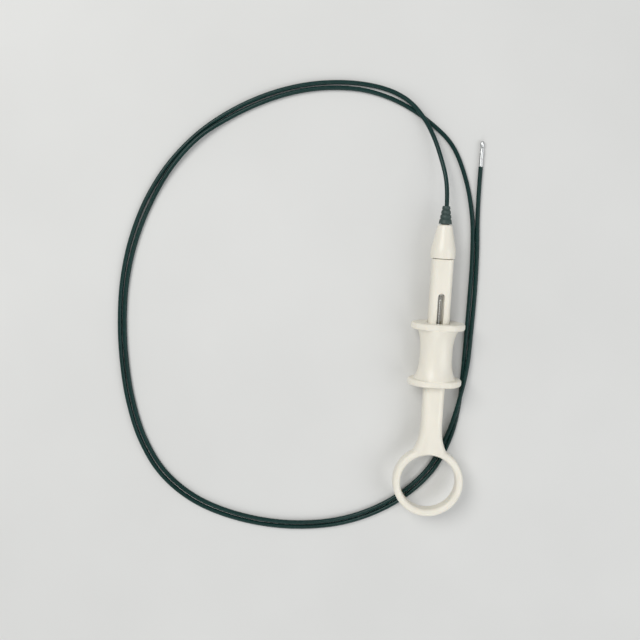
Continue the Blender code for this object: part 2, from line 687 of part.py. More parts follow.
def biting_cup(name, side, level, finish):
    """A hollow cup with an oval window, and its flat arm, hub and tail in one layer of the fork."""
    made = piece(name, egg(CUP_RADIUS, CUP_REAR, CUP_REAR + CUP_LENGTH), finish, PIVOT)
    eye = cup_places(side)
    flat = layer(level, TIP_LAYER_GAP / 2, TIP_LAYER_GAP / 2 + TAIL_THICKNESS)
    arm_end = (side * ARM_SIDE, ARM_REACH)
    arm = prism(tapered_bar((0, 0), HUB_RADIUS, arm_end, ARM_END_RADIUS), *flat)
    combine(made, piece(name + "_arm", arm, None, PIVOT), "UNION")
    tail = prism(tapered_bar((0, 0), HUB_RADIUS, eye, TAIL_EYE_RADIUS), *flat)
    combine(made, piece(name + "_tail", tail, None, PIVOT), "UNION")
    hollow = egg(CUP_RADIUS - CUP_WALL, CUP_REAR + CUP_WALL, CUP_REAR + CUP_LENGTH - CUP_WALL)
    combine(made, piece(name + "_hollow", hollow, None, PIVOT))
    reach = CUP_REAR + CUP_LENGTH
    across = sorted((side * CUP_MEETING_GAP, -side * reach))
    meeting = block(across, (HUB_RADIUS + CUP_WALL, 2 * reach), (-reach, reach))
    combine(made, piece(name + "_meeting", meeting, None, PIVOT))
    window = upright(rod(WINDOW_HALF_WIDTH, 0, 2 * CUP_RADIUS))
    sideways = Matrix.Rotation(side * pi / 2, 3, "Y")
    bmesh.ops.rotate(window, cent=(0, 0, 0), matrix=sideways, verts=window.verts)
    stretch = WINDOW_HALF_LENGTH / WINDOW_HALF_WIDTH
    bmesh.ops.scale(window, vec=(1, stretch, 1), verts=window.verts)
    middle = PIVOT + Vector((0, CUP_REAR + CUP_LENGTH / 2, 0))
    combine(made, piece(name + "_window", window, None, middle))
    hub_hole = upright(rod(PIN_RADIUS + TIP_GAP, -reach, reach))
    combine(made, piece(name + "_hub_hole", hub_hole, None, PIVOT))
    eye_hole = upright(rod(RIVET_RADIUS + TIP_GAP, -reach, reach))
    combine(made, piece(name + "_eye_hole", eye_hole, None, PIVOT + Vector((*eye, 0))))
    return made


def link_layer():
    """Bottom and top of a link's flat eye, from the middle plane."""
    bottom = TIP_LAYER_GAP / 2 + TAIL_THICKNESS + TIP_LAYER_GAP
    return bottom, bottom + LINK_EYE_THICKNESS


def link(name, side, level, finish):
    """Thin pull rod: a flat eye on the rivet, a bend towards the middle plane, and a round wire."""
    at = PIVOT + Vector((*cup_places(side), 0))
    bottom, top = link_layer()
    eye = prism(circle(LINK_EYE_RADIUS, TIP_STEPS), *layer(level, bottom, top))
    made = piece(name, eye, finish, at)
    low = LINK_RADIUS + TIP_LAYER_GAP
    high = (bottom + top) / 2
    thin = LINK_EYE_THICKNESS / 2
    stations = [
        (LINK_STEM_START, high, thin),
        (LINK_STRAIGHT, high, thin),
        ((LINK_STRAIGHT + LINK_BEND_END) / 2, (high + low) / 2, (thin + LINK_RADIUS) / 2),
        (LINK_BEND_END, low, LINK_RADIUS),
        (LINK_LENGTH, low, LINK_RADIUS),
    ]
    heading = Vector((side * sin(LINK_ANGLE), -cos(LINK_ANGLE)))
    sideways = Vector((heading.y, -heading.x))
    sections = []
    for along, height, half in stations:
        ring = []
        for i in range(LINK_STEPS):
            turn = tau * (i + 0.5) / LINK_STEPS
            flat_place = heading * along + sideways * LINK_RADIUS * cos(turn)
            ring.append((flat_place.x, flat_place.y, level * (height + half * sin(turn))))
        sections.append(ring)
    combine(made, piece(name + "_wire", loft(sections), None, at), "UNION")
    hole = upright(rod(RIVET_RADIUS + TIP_GAP, -CUP_RADIUS, CUP_RADIUS))
    combine(made, piece(name + "_eye_hole", hole, None, at))
    return made


def rivet(name, side, level, finish):
    """Rivet through a tail's eye and a link's eye, with its head on the link."""
    foot = TIP_LAYER_GAP
    seat = link_layer()[1] + TIP_LAYER_GAP / 2
    head = seat + RIVET_HEAD_THICKNESS
    profile = [
        (0, foot),
        (RIVET_RADIUS, foot),
        (RIVET_RADIUS, seat),
        (RIVET_HEAD_RADIUS, seat),
        (RIVET_HEAD_RADIUS, head),
        (0, head),
    ]
    made_bm = upright(turned(profile, TIP_STEPS))
    bmesh.ops.scale(made_bm, vec=(1, 1, level), verts=made_bm.verts)
    return piece(name, made_bm, finish, PIVOT + Vector((*cup_places(side), 0)))


def build():
    """All the sub-parts, in place."""
    for old in list(bpy.data.objects):
        bpy.data.objects.remove(old)
    ivory = material("ivory_plastic", (0.83, 0.78, 0.66), 0.38)
    green = material("green_coat", (0.020, 0.045, 0.040), 0.30)
    rubber = material("green_rubber", (0.025, 0.050, 0.045), 0.55)
    brass = material("brass", (0.70, 0.52, 0.24), 0.35, 1.0)
    steel = material("bright_steel", (0.62, 0.63, 0.64), 0.25, 1.0)
    dark_steel = material("drawn_steel", (0.48, 0.49, 0.50), 0.35, 1.0)
    white = material("white_acetal", (0.85, 0.85, 0.82), 0.40)

    handle_body(ivory)
    stem_guide(white)
    nose_cap(ivory)
    sheath_ferrule(dark_steel)
    strain_relief_boot(rubber)
    slider_half("slider_top_half", 1, ivory)
    slider_half("slider_bottom_half", -1, ivory)
    anchor_block(brass)
    anchor_screw(dark_steel)
    wire_pipe(steel)
    sheath(green)
    tip_collar(steel)
    tip_housing(steel)
    pivot_pin(dark_steel)
    for word, side, level in (("left", -1, 1), ("right", 1, -1)):
        biting_cup(f"{word}_cup", side, level, steel)
        link(f"{word}_link", side, level, dark_steel)
        rivet(f"{word}_rivet", side, level, dark_steel)


build()
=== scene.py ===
"""Looks of the endoscopic biopsy forceps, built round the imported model.

Metres, in the model's own frame: the handle lies along Y with its tip end at +Y, +Z is up, and the floor
is at 0. Every piece has the place and the outer form of the solid that it replaces, with finer edges.
"""

from math import acos, atan2, ceil, cos, pi, radians, sin, sqrt, tau

import bmesh
import bpy
from mathutils import Matrix, Vector


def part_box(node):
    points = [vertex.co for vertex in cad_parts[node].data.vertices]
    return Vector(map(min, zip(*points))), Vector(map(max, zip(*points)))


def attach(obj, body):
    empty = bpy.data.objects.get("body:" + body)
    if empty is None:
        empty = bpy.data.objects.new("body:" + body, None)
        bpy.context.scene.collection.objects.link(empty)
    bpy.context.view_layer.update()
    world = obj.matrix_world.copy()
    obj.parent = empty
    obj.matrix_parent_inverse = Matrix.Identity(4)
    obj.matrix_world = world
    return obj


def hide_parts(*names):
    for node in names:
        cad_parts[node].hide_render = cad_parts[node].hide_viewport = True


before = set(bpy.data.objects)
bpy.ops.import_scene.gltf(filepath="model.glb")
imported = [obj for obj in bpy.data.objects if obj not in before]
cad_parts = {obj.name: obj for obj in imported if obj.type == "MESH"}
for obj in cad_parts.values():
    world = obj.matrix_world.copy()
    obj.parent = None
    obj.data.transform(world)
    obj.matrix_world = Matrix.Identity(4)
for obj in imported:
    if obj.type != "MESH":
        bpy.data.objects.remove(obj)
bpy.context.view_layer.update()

# The photograph's frame: square, seen from above but for a small tilt
FRAME_PIXELS = 640
FOCAL_PIXELS = 900
CAMERA_TILT = radians(8)
CAMERA_TO_FLOOR = 0.395
RING_PIXEL = (427.3, 481.0)  # the thumb ring's centre
BOOT_PIXEL = (446.5, 206.0)  # where the sheath leaves the boot
SENSOR_WIDTH = 36.0
CLIP_START = 0.005

# The studio
FLOOR_HALF_WIDTH = 4
FLOOR_DROP = 0.00002  # keeps the floor just below the faces that lie on it
FLOOR_COLOUR = (0.67, 0.67, 0.655)
FLOOR_DARKER = (0.66, 0.66, 0.645)
FLOOR_LIGHTER = (0.685, 0.685, 0.67)
FLOOR_FADE = (0.30, 0.90)  # from where to where the floor takes on the backdrop's colour
BACKDROP_COLOUR = (0.70, 0.705, 0.695)
SKY_COLOUR = (0.96, 0.98, 1.0)
SKY_STRENGTH = 0.42
LIGHTS_FACE = (-0.05, 0.02, 0)
LIGHTS = [  # name, place, width, power and colour
    ("key", (-0.45, 0.40, 0.75), 0.5, 4.6, (1.0, 0.99, 0.97)),
    ("fill", (0.60, -0.10, 0.60), 0.6, 2.1, (0.97, 0.98, 1.0)),
    ("front", (-0.05, -0.70, 0.50), 0.5, 1.4, (1.0, 1.0, 1.0)),
]

# Colours of the materials
IVORY = (0.80, 0.765, 0.672)
ACETAL = (0.85, 0.85, 0.82)
COAT_GREEN = (0.002, 0.025, 0.022)
COAT_DARKER = (0.0015, 0.022, 0.0195)
COAT_LIGHTER = (0.003, 0.028, 0.025)
RUBBER_GREEN = (0.022, 0.046, 0.041)
BRIGHT_STEEL = (0.56, 0.57, 0.575)
DRAWN_STEEL = (0.42, 0.43, 0.44)
BRASS = (0.72, 0.52, 0.24)

# How fine the meshes are
WELD_DISTANCE = 1e-8
REMESH_SCALE = 1000  # a remesh's voxels are at least 0.1 mm, so it works on an enlarged mesh
ROD_STEPS = 48
EDGE_STEPS = 5
RING_STEPS = 160
NECK_STEPS = 24
SPOOL_STEPS = 120
WAIST_STEPS = 32
FLANGE_EDGE_STEPS = 6
CAP_STEPS = 96
CAP_TAPER_STEPS = 16
CAP_CORNER_STEPS = 10
CAP_SHOULDER_STEPS = 2  # how far along the taper its soft shoulder reaches
BOOT_STEPS = 72
BOOT_EDGE_STEPS = 4
BOOT_GROOVE_STEPS = 12
TUBE_STEPS = 64
CRIMP_STEPS = 8
TIP_STEPS = 72
COLLAR_ROWS = 40
NOSE_STEPS = 32
CUP_STEPS = 36
DOME_STEPS = 8
LINK_STEPS = 32
LINK_SIDES = 24
LINK_EYE_STEPS = 60

# Places taken from the model
CAP_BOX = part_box("nose_cap")
BOOT_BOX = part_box("strain_relief_boot")
SLIDER_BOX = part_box("slider_top_half")
AXIS_Z = (CAP_BOX[0].z + CAP_BOX[1].z) / 2
RING_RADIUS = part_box("handle_body")[1].x
RING_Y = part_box("handle_body")[0].y + RING_RADIUS
SPIGOT_END_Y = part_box("handle_body")[1].y
CAP_Y = CAP_BOX[0].y
CAP_LENGTH = CAP_BOX[1].y - CAP_BOX[0].y
BOOT_END_Y = BOOT_BOX[1].y
SLIDER_Y = (SLIDER_BOX[0].y + SLIDER_BOX[1].y) / 2

# Handle sizes
RING_WIDTH = 0.0032
RING_THICKNESS = 0.0065
RING_ROUNDING = 0.0014
RING_TO_NECK = 0.0133
NECK_LENGTH = 0.0132
NECK_ROOT_WIDTH = 0.0150
NECK_BELOW_RING = 0.0002  # how much thinner than the ring the neck starts
NECK_CURVE = 2.4
STEM_WIDTH = 0.0090
STEM_HEIGHT = 0.0084
STEM_CORNER = 0.0024
SPIGOT_RADIUS = 0.0034
SPIGOT_LENGTH = 0.0060
SLOT_WIDTH = 0.0028
SLOT_REAR_FROM_SLIDER = 0.0044
SLOT_FRONT_FROM_SLIDER = 0.0264

# Slider sizes
FLANGE_SPACING = 0.0244
FLANGE_THICKNESS = 0.0028
FLANGE_HALF_WIDTH = 0.0116
FLANGE_HALF_HEIGHT = 0.0098
FLANGE_FLAT = 0.0085
FLANGE_ROUNDING = 0.0008
WAIST_HALF_WIDTH = 0.0070
WAIST_HALF_HEIGHT = 0.0066
WAIST_FLARE = 0.0020
WAIST_FLARE_POWER = 3
PARTING_GAP = 0.00016
PEG_RADIUS = 0.0006
PEG_LENGTH = 0.0030
PEG_FROM_AXIS = 0.0082
RUN_GAP = 0.0003
FIT_GAP = 0.0001

# Wire anchor and stem bush sizes
ANCHOR_WIDTH = 0.0022
ANCHOR_LENGTH = 0.0060
ANCHOR_HALF_HEIGHT = 0.0055
ANCHOR_EDGE = 0.00016
SCREW_RADIUS = 0.0008
SCREW_SLOT = 0.0003
THREAD_PITCH = 0.00035
THREAD_DEPTH = 0.00016
PIPE_RADIUS = 0.0006
PIPE_BORE = 0.0003
PIPE_EDGE = 0.00008
PIPE_CRIMPS = (0.0030, 0.0018)  # from the pipe's front end
GUIDE_RADIUS = 0.0019
GUIDE_EDGE = 0.00015
CRIMP_WIDTH = 0.0005
CRIMP_DEPTH = 0.00009

# Nose cap and boot sizes
CAP_REAR_RADIUS = 0.0053
CAP_FRONT_RADIUS = 0.0032
CAP_STRAIGHT_LENGTH = 0.0036
CAP_ROUNDING = 0.0010
CAP_CORNER_START = 0.12  # the turn at which the front rounding takes over from the taper, in radians
CAP_EDGE = 0.0003
FERRULE_RADIUS = 0.0016
FERRULE_LENGTH = 0.0040
FERRULE_EDGE = 0.00012
FERRULE_CRIMPS = (0.3, 0.5, 0.7)  # shares of its length
BOOT_SPIGOT_RADIUS = 0.0017
BOOT_SPIGOT_LENGTH = 0.0016
BOOT_BORE_GAP = 0.00012
BOOT_LENGTH = 0.0075
BOOT_REAR_RADIUS = 0.0028
BOOT_FRONT_RADIUS = 0.0016
BOOT_GROOVES = 3
BOOT_GROOVE_DEPTH = 0.0003
BOOT_GROOVE_WIDTH = 0.0006
BOOT_GROOVE_POWER = 1.4
BOOT_EDGE = 0.00012

# Tip sizes, from the pivot: X across, Y forward, Z along the pivot
PIVOT = sum(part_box("pivot_pin"), Vector()) / 2
HOUSING_RADIUS = 0.00095
HOUSING_REAR = 0.0037
HOUSING_NOSE = 0.0008
FORK_DEPTH = 0.0032
FORK_HALF_OPENING = 0.00062
TIP_BORE = 0.0007
COLLAR_RADIUS = 0.00093
COLLAR_LENGTH = 0.0032
COLLAR_GAP = 0.00003
COLLAR_CHAMFER = 0.00006
COLLAR_CHAMFER_SHARE = 1 / 14  # of the collar's length
PIN_RADIUS = 0.00022
PIN_HALF_LENGTH = 0.00092
PIN_DOME = 0.00006
CUP_RADIUS = 0.00093
CUP_REAR = 0.0009
CUP_LENGTH = 0.0030
CUP_WALL = 0.00017
CUP_SQUARENESS = 2.6
CUP_MEETING_GAP = 0.00002
WINDOW_HALF_LENGTH = 0.00065
WINDOW_HALF_WIDTH = 0.00030
HUB_RADIUS = 0.00046
ARM_END_RADIUS = 0.00027
ARM_SIDE = 0.00050
ARM_REACH = 0.00130
TAIL_THICKNESS = 0.00032
TAIL_LENGTH = 0.00145
TAIL_EYE_RADIUS = 0.00034
TAIL_ANGLE = radians(21)
RIVET_RADIUS = 0.00017
RIVET_HEAD_RADIUS = 0.00032
RIVET_HEAD_THICKNESS = 0.00008
RIVET_HEAD_POWER = 0.7
LINK_EYE_RADIUS = 0.00030
LINK_EYE_THICKNESS = 0.00012
LINK_RADIUS = 0.00012
LINK_LENGTH = 0.0037
LINK_ANGLE = radians(9.74)
LINK_STEM_START = 0.00024
LINK_STRAIGHT = 0.00085
LINK_BEND_END = 0.00170
TIP_GAP = 0.00003
TIP_LAYER_GAP = 0.00004

# Relief that the materials give, and their marks
PLASTIC_GRAIN = 0.000004
PARTING_RIDGE_HALF_WIDTH = 0.00007
PARTING_RIDGE_HEIGHT = 0.00002
COIL_PITCH = 0.00045
COIL_RIPPLE = 0.0000025
COAT_UNEVENNESS = 0.00001
RUBBER_GRAIN = 0.000008
STEEL_MARKS = 0.0000012
MARKS_ALONG_X = (0.1, 1.0, 1.0)  # scales of the marks' texture
MARKS_ALONG_Y = (1.0, 0.1, 1.0)

# The sheath's centre line, from the ferrule in the nose cap to the tip
SHEATH_RADIUS = 0.000925
SHEATH_STEP = 0.0012
SHEATH_SIDES = 20
FLOOR_Z = 0.00097
SHEATH_STRAIGHT = 0.0035
SHEATH_START_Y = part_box("sheath_ferrule")[0].y + FIT_GAP
SHEATH_ROUTE = [
    (0.0, SHEATH_START_Y, AXIS_Z),
    (0.0, BOOT_END_Y + SHEATH_STRAIGHT, AXIS_Z),
    (-0.0009, 0.0795, 0.0074),
    (-0.0033, 0.0880, 0.0052),
    (-0.0067, 0.0965, 0.0037),
    (-0.0113, 0.1041, 0.0030),
    (-0.0176, 0.1106, 0.0021),
    (-0.0252, 0.1146, 0.0012),
    (-0.0369, 0.1170, FLOOR_Z),
    (-0.0508, 0.1171, FLOOR_Z),
    (-0.0648, 0.1149, FLOOR_Z),
    (-0.0789, 0.1103, FLOOR_Z),
    (-0.0934, 0.1029, FLOOR_Z),
    (-0.1068, 0.0930, FLOOR_Z),
    (-0.1190, 0.0795, FLOOR_Z),
    (-0.1282, 0.0638, FLOOR_Z),
    (-0.1344, 0.0463, FLOOR_Z),
    (-0.1376, 0.0288, FLOOR_Z),
    (-0.1383, 0.0112, FLOOR_Z),
    (-0.1371, -0.0066, FLOOR_Z),
    (-0.1340, -0.0245, FLOOR_Z),
    (-0.1282, -0.0420, FLOOR_Z),
    (-0.1186, -0.0574, FLOOR_Z),
    (-0.1036, -0.0693, FLOOR_Z),
    (-0.0824, -0.0769, FLOOR_Z),
    (-0.0578, -0.0793, FLOOR_Z),
    (-0.0336, -0.0756, FLOOR_Z),
    (-0.0124, -0.0652, FLOOR_Z),
    (0.0026, -0.0505, FLOOR_Z),
    (0.0099, -0.0345, FLOOR_Z),
    (0.0126, -0.0200, FLOOR_Z),
    (0.0133, -0.0050, FLOOR_Z),
    (0.0136, 0.0120, FLOOR_Z),
    (0.0138, 0.0290, FLOOR_Z),
    (0.0137, 0.0460, FLOOR_Z),
    (0.0124, 0.0635, FLOOR_Z),
    (0.0085, 0.0795, FLOOR_Z),
    (0.0016, 0.0936, FLOOR_Z),
    (-0.0090, 0.1030, FLOOR_Z),
    (-0.0222, 0.1104, FLOOR_Z),
    (-0.0363, 0.1144, FLOOR_Z),
    (-0.0508, 0.1148, FLOOR_Z),
    (-0.0643, 0.1127, FLOOR_Z),
    (-0.0781, 0.1081, FLOOR_Z),
    (-0.0925, 0.1008, 0.0012),
    (-0.1060, 0.0914, 0.0022),
    (-0.1172, 0.0785, 0.0018),
    (-0.1259, 0.0628, FLOOR_Z),
    (-0.1321, 0.0457, FLOOR_Z),
    (-0.1354, 0.0286, FLOOR_Z),
    (-0.1362, 0.0114, FLOOR_Z),
    (-0.1350, -0.0062, FLOOR_Z),
    (-0.1319, -0.0238, FLOOR_Z),
    (-0.1262, -0.0410, FLOOR_Z),
    (-0.1168, -0.0560, FLOOR_Z),
    (-0.1022, -0.0675, FLOOR_Z),
    (-0.0817, -0.0748, FLOOR_Z),
    (-0.0577, -0.0772, FLOOR_Z),
    (-0.0344, -0.0736, FLOOR_Z),
    (-0.0141, -0.0637, FLOOR_Z),
    (0.0006, -0.0493, FLOOR_Z),
    (0.0085, -0.0325, 0.0016),
    (0.0124, -0.0160, 0.0032),
    (0.0148, -0.0020, 0.0025),
    (0.0157, 0.0140, 0.0011),
    (0.0160, 0.0310, FLOOR_Z),
    (0.0157, 0.0480, FLOOR_Z),
    (0.0148, 0.0630, FLOOR_Z),
    (0.0145, 0.0740, FLOOR_Z),
    (0.0145, 0.0851, FLOOR_Z),
]


def new_piece(name, shape, at=(0, 0, 0)):
    """An object made from a bmesh."""
    bmesh.ops.remove_doubles(shape, verts=shape.verts, dist=WELD_DISTANCE)
    bmesh.ops.recalc_face_normals(shape, faces=shape.faces)
    mesh = bpy.data.meshes.new(name)
    shape.to_mesh(mesh)
    shape.free()
    made = bpy.data.objects.new(name, mesh)
    made.location = at
    bpy.context.scene.collection.objects.link(made)
    return made


def combine(made, shape, at, operation="DIFFERENCE"):
    """Cut a piece with a shape, or join or intersect the two."""
    modifier = made.modifiers.new("shape", "BOOLEAN")
    modifier.operation = operation
    modifier.solver = "EXACT"
    modifier.object = new_piece("tool", shape, at)


def settle(made):
    """Apply a piece's modifiers, and remove the tools that cut it."""
    bpy.context.view_layer.update()
    tools = [m.object for m in made.modifiers if m.type == "BOOLEAN"]
    graph = bpy.context.evaluated_depsgraph_get()
    mesh = bpy.data.meshes.new_from_object(made.evaluated_get(graph))
    made.modifiers.clear()
    made.data = mesh
    for tool in tools:
        bpy.data.objects.remove(tool)


def soften(made, voxel, rounds, share):
    """Round a piece's edges as a mould or tumbling does: small voxels, smoothing, then fewer triangles."""
    settle(made)
    made.data.transform(Matrix.Scale(REMESH_SCALE, 4))
    remesh = made.modifiers.new("remesh", "REMESH")
    remesh.mode = "VOXEL"
    remesh.voxel_size = voxel * REMESH_SCALE
    smooth = made.modifiers.new("smooth", "SMOOTH")
    smooth.iterations = rounds
    smooth.factor = 0.5
    decimate = made.modifiers.new("decimate", "DECIMATE")
    decimate.ratio = share
    settle(made)
    made.data.transform(Matrix.Scale(1 / REMESH_SCALE, 4))
    made.data.shade_smooth()


def shade(made, degrees):
    """Smooth shading, but for edges sharper than the angle."""
    made.data.shade_smooth()
    made.data.set_sharp_from_angle(angle=radians(degrees))


def closed_chain(shape, points):
    """Vertices at the points, joined by edges in a closed chain."""
    verts = [shape.verts.new(p) for p in points]
    edges = [shape.edges.new((a, b)) for a, b in zip(verts, verts[1:] + verts[:1])]
    return verts + edges


def spin(shape, chain, axis, steps):
    """A full turn of a closed chain about an axis through the origin."""
    bmesh.ops.spin(shape, geom=chain, cent=(0, 0, 0), axis=axis, angle=tau, steps=steps, use_merge=True)


def turned(profile, steps):
    """A solid turned about Y from a closed profile of (radius, y) points."""
    shape = bmesh.new()
    spin(shape, closed_chain(shape, [(r, y, 0) for r, y in profile]), (0, 1, 0), steps)
    bmesh.ops.remove_doubles(shape, verts=shape.verts, dist=WELD_DISTANCE)
    on_axis = [e for e in shape.edges if not e.link_faces]
    bmesh.ops.delete(shape, geom=on_axis, context="EDGES")
    return shape


def rod(radius, start, end, steps=ROD_STEPS):
    """A plain round bar along Y."""
    return turned([(0, start), (radius, start), (radius, end), (0, end)], steps)


def rotate(shape, angle, axis):
    """Turn a shape about an axis through the origin."""
    bmesh.ops.rotate(shape, cent=(0, 0, 0), matrix=Matrix.Rotation(angle, 3, axis), verts=shape.verts)


def upright(shape):
    """Turn a shape made along Y to stand along Z."""
    rotate(shape, radians(90), "X")
    return shape


def prism(outline, bottom, top):
    """A flat outline of (x, y) points, extruded from bottom to top along Z."""
    shape = bmesh.new()
    face = shape.faces.new([shape.verts.new((x, y, bottom)) for x, y in outline])
    grown = bmesh.ops.extrude_face_region(shape, geom=[face])["geom"]
    raised = [v for v in grown if isinstance(v, bmesh.types.BMVert)]
    bmesh.ops.translate(shape, verts=raised, vec=(0, 0, top - bottom))
    return shape


def block(x, y, z):
    """A box given by its (low, high) along each axis."""
    return prism([(x[0], y[0]), (x[1], y[0]), (x[1], y[1]), (x[0], y[1])], *z)


def loft(sections):
    """A solid through rings of points that all have the same count, with flat ends."""
    shape = bmesh.new()
    rings = [[shape.verts.new(p) for p in section] for section in sections]
    for ring, following in zip(rings, rings[1:]):
        for i, vert in enumerate(ring):
            j = (i + 1) % len(ring)
            shape.faces.new((vert, ring[j], following[j], following[i]))
    shape.faces.new(rings[0])
    shape.faces.new(rings[-1])
    return shape


def arc(centre, radius, start, end, steps):
    """Points on an arc, both ends included."""
    turn = (end - start) / steps
    return [
        (centre[0] + radius * cos(start + turn * i), centre[1] + radius * sin(start + turn * i))
        for i in range(steps + 1)
    ]


def quarter(steps):
    """Angles from 0 to a quarter turn, both included."""
    return [pi / 2 * i / steps for i in range(steps + 1)]


def round_off(before, corner, after, steps=8):
    """Points of a soft bend that replaces a corner, from before it to after it."""
    points = []
    for i in range(steps + 1):
        share = i / steps
        near, mid, far = (1 - share) ** 2, 2 * share * (1 - share), share**2
        points.append(tuple(near * a + mid * b + far * c for a, b, c in zip(before, corner, after)))
    return points


def rounded_rectangle(width, height, corner, steps=8):
    """A rectangle about (0, 0) with round corners."""
    points = []
    for quadrant in range(4):
        side = 1 if quadrant in (0, 3) else -1
        level = 1 if quadrant in (0, 1) else -1
        centre = (side * (width / 2 - corner), level * (height / 2 - corner))
        points += arc(centre, corner, quadrant * pi / 2, (quadrant + 1) * pi / 2, steps)
    return points


def stadium(width, low, high, steps=16):
    """A slot's outline along Y with round ends."""
    r = width / 2
    return arc((0, low + r), r, pi, tau, steps) + arc((0, high - r), r, 0, pi, steps)


def tapered_bar(start, start_radius, end, end_radius, steps=24):
    """The outline of two round ends joined by straight sides that touch both."""
    dx, dy = end[0] - start[0], end[1] - start[1]
    heading = atan2(dy, dx)
    lean = acos((start_radius - end_radius) / sqrt(dx * dx + dy * dy))
    return arc(start, start_radius, heading + lean, heading + tau - lean, steps) + arc(
        end, end_radius, heading - lean, heading + lean, steps
    )


def between(start, end, share):
    """The value at a share of the way from start to end."""
    return start + (end - start) * share


def ease(share):
    """A smooth step from 0 to 1."""
    return share * share * (3 - 2 * share)


def handle_body():
    """Thumb ring, flared neck, slotted stem and spigot, with moulded edges and fillets."""
    at = (0, RING_Y, AXIS_Z)
    ring = bmesh.new()
    middle = RING_RADIUS - RING_WIDTH / 2
    section = rounded_rectangle(RING_WIDTH, RING_THICKNESS, RING_ROUNDING)
    spin(ring, closed_chain(ring, [(middle + r, 0, z) for r, z in section]), (0, 0, 1), RING_STEPS)
    made = new_piece("handle_moulding", ring, at)

    stem_length = SPIGOT_END_Y - SPIGOT_LENGTH - RING_Y
    sections = []
    for i in range(NECK_STEPS + 1):
        share = i / NECK_STEPS
        width = between(STEM_WIDTH, NECK_ROOT_WIDTH, (1 - share) ** NECK_CURVE)
        height = between(RING_THICKNESS - NECK_BELOW_RING, STEM_HEIGHT, ease(share))
        y = RING_TO_NECK + NECK_LENGTH * share
        sections.append([(x, y, z) for x, z in rounded_rectangle(width, height, STEM_CORNER)])
    sections.append([(x, stem_length, z) for x, y, z in sections[-1]])
    combine(made, loft(sections), at, "UNION")
    combine(made, rod(SPIGOT_RADIUS, stem_length - RUN_GAP, stem_length + SPIGOT_LENGTH), at, "UNION")

    slot_end = SLIDER_Y + SLOT_FRONT_FROM_SLIDER
    slot = stadium(SLOT_WIDTH, SLIDER_Y - SLOT_REAR_FROM_SLIDER, slot_end)
    combine(made, prism(slot, 0, 2 * AXIS_Z), (0, 0, 0))
    bush_seat = rod(GUIDE_RADIUS + FIT_GAP, slot_end - SLOT_WIDTH / 2, SPIGOT_END_Y + SPIGOT_LENGTH)
    combine(made, bush_seat, (0, 0, AXIS_Z))
    soften(made, voxel=0.00024, rounds=4, share=0.45)
    return made


def spool():
    """The slider's outer form, about its own centre."""
    rows = []
    half_gap = FLANGE_SPACING / 2 - FLANGE_THICKNESS / 2
    for side in (-1, 1):
        edge = []
        for turn in quarter(FLANGE_EDGE_STEPS):
            back = FLANGE_THICKNESS / 2 - FLANGE_ROUNDING * (1 - cos(turn))
            edge.append((side * (FLANGE_SPACING / 2 + back), FLANGE_ROUNDING * (1 - sin(turn))))
        inner = [(side * FLANGE_SPACING - y, inset) for y, inset in reversed(edge)]
        for y, inset in edge + inner:
            width, height = FLANGE_HALF_WIDTH - inset, FLANGE_HALF_HEIGHT - inset
            rows.append((y, width, height, FLANGE_FLAT - inset))
    for i in range(WAIST_STEPS + 1):
        share = 2 * i / WAIST_STEPS - 1
        flare = WAIST_FLARE * abs(share) ** WAIST_FLARE_POWER
        rows.append((share * half_gap, WAIST_HALF_WIDTH + flare, WAIST_HALF_HEIGHT + flare, FLANGE_FLAT))
    # Of the two rows at a flange's inner face, the wide one lies towards the slider's end
    rows.sort(key=lambda row: (round(row[0], 7), row[1] if row[0] > 0 else -row[1]))
    sections = []
    for y, width, height, flat in rows:
        ring = []
        for i in range(SPOOL_STEPS):
            turn = tau * (i + 0.5) / SPOOL_STEPS
            ring.append((width * cos(turn), y, max(-flat, min(flat, height * sin(turn)))))
        sections.append(ring)
    return loft(sections)


def slider_half(name, side):
    """One half of the finger slider, with the fine parting line between the halves."""
    at = (0, SLIDER_Y, AXIS_Z)
    made = new_piece(name, spool(), at)
    reach = FLANGE_SPACING
    other_side = sorted((side * PARTING_GAP / 2, -side * 2 * AXIS_Z))
    combine(made, block((-reach, reach), (-reach, reach), other_side), at)
    outline = rounded_rectangle(STEM_WIDTH + 2 * RUN_GAP, STEM_HEIGHT + 2 * RUN_GAP, STEM_CORNER)
    combine(made, loft([[(x, y, z) for x, z in outline] for y in (-reach, reach)]), at)
    pocket_x = ANCHOR_WIDTH / 2 + RUN_GAP
    pocket_y = ANCHOR_LENGTH / 2 + RUN_GAP
    pocket_z = sorted((0, side * (ANCHOR_HALF_HEIGHT + RUN_GAP)))
    combine(made, block((-pocket_x, pocket_x), (-pocket_y, pocket_y), pocket_z), at)
    for x in (-PEG_FROM_AXIS, PEG_FROM_AXIS):
        for y in (-FLANGE_SPACING / 2, FLANGE_SPACING / 2):
            place = (x, SLIDER_Y + y, AXIS_Z)
            if side > 0:
                combine(made, upright(rod(PEG_RADIUS, -PEG_LENGTH, RUN_GAP)), place, "UNION")
            else:
                combine(made, upright(rod(PEG_RADIUS + FIT_GAP, -PEG_LENGTH - RUN_GAP, RUN_GAP)), place)
    soften(made, voxel=0.00018, rounds=3, share=0.5)
    return made


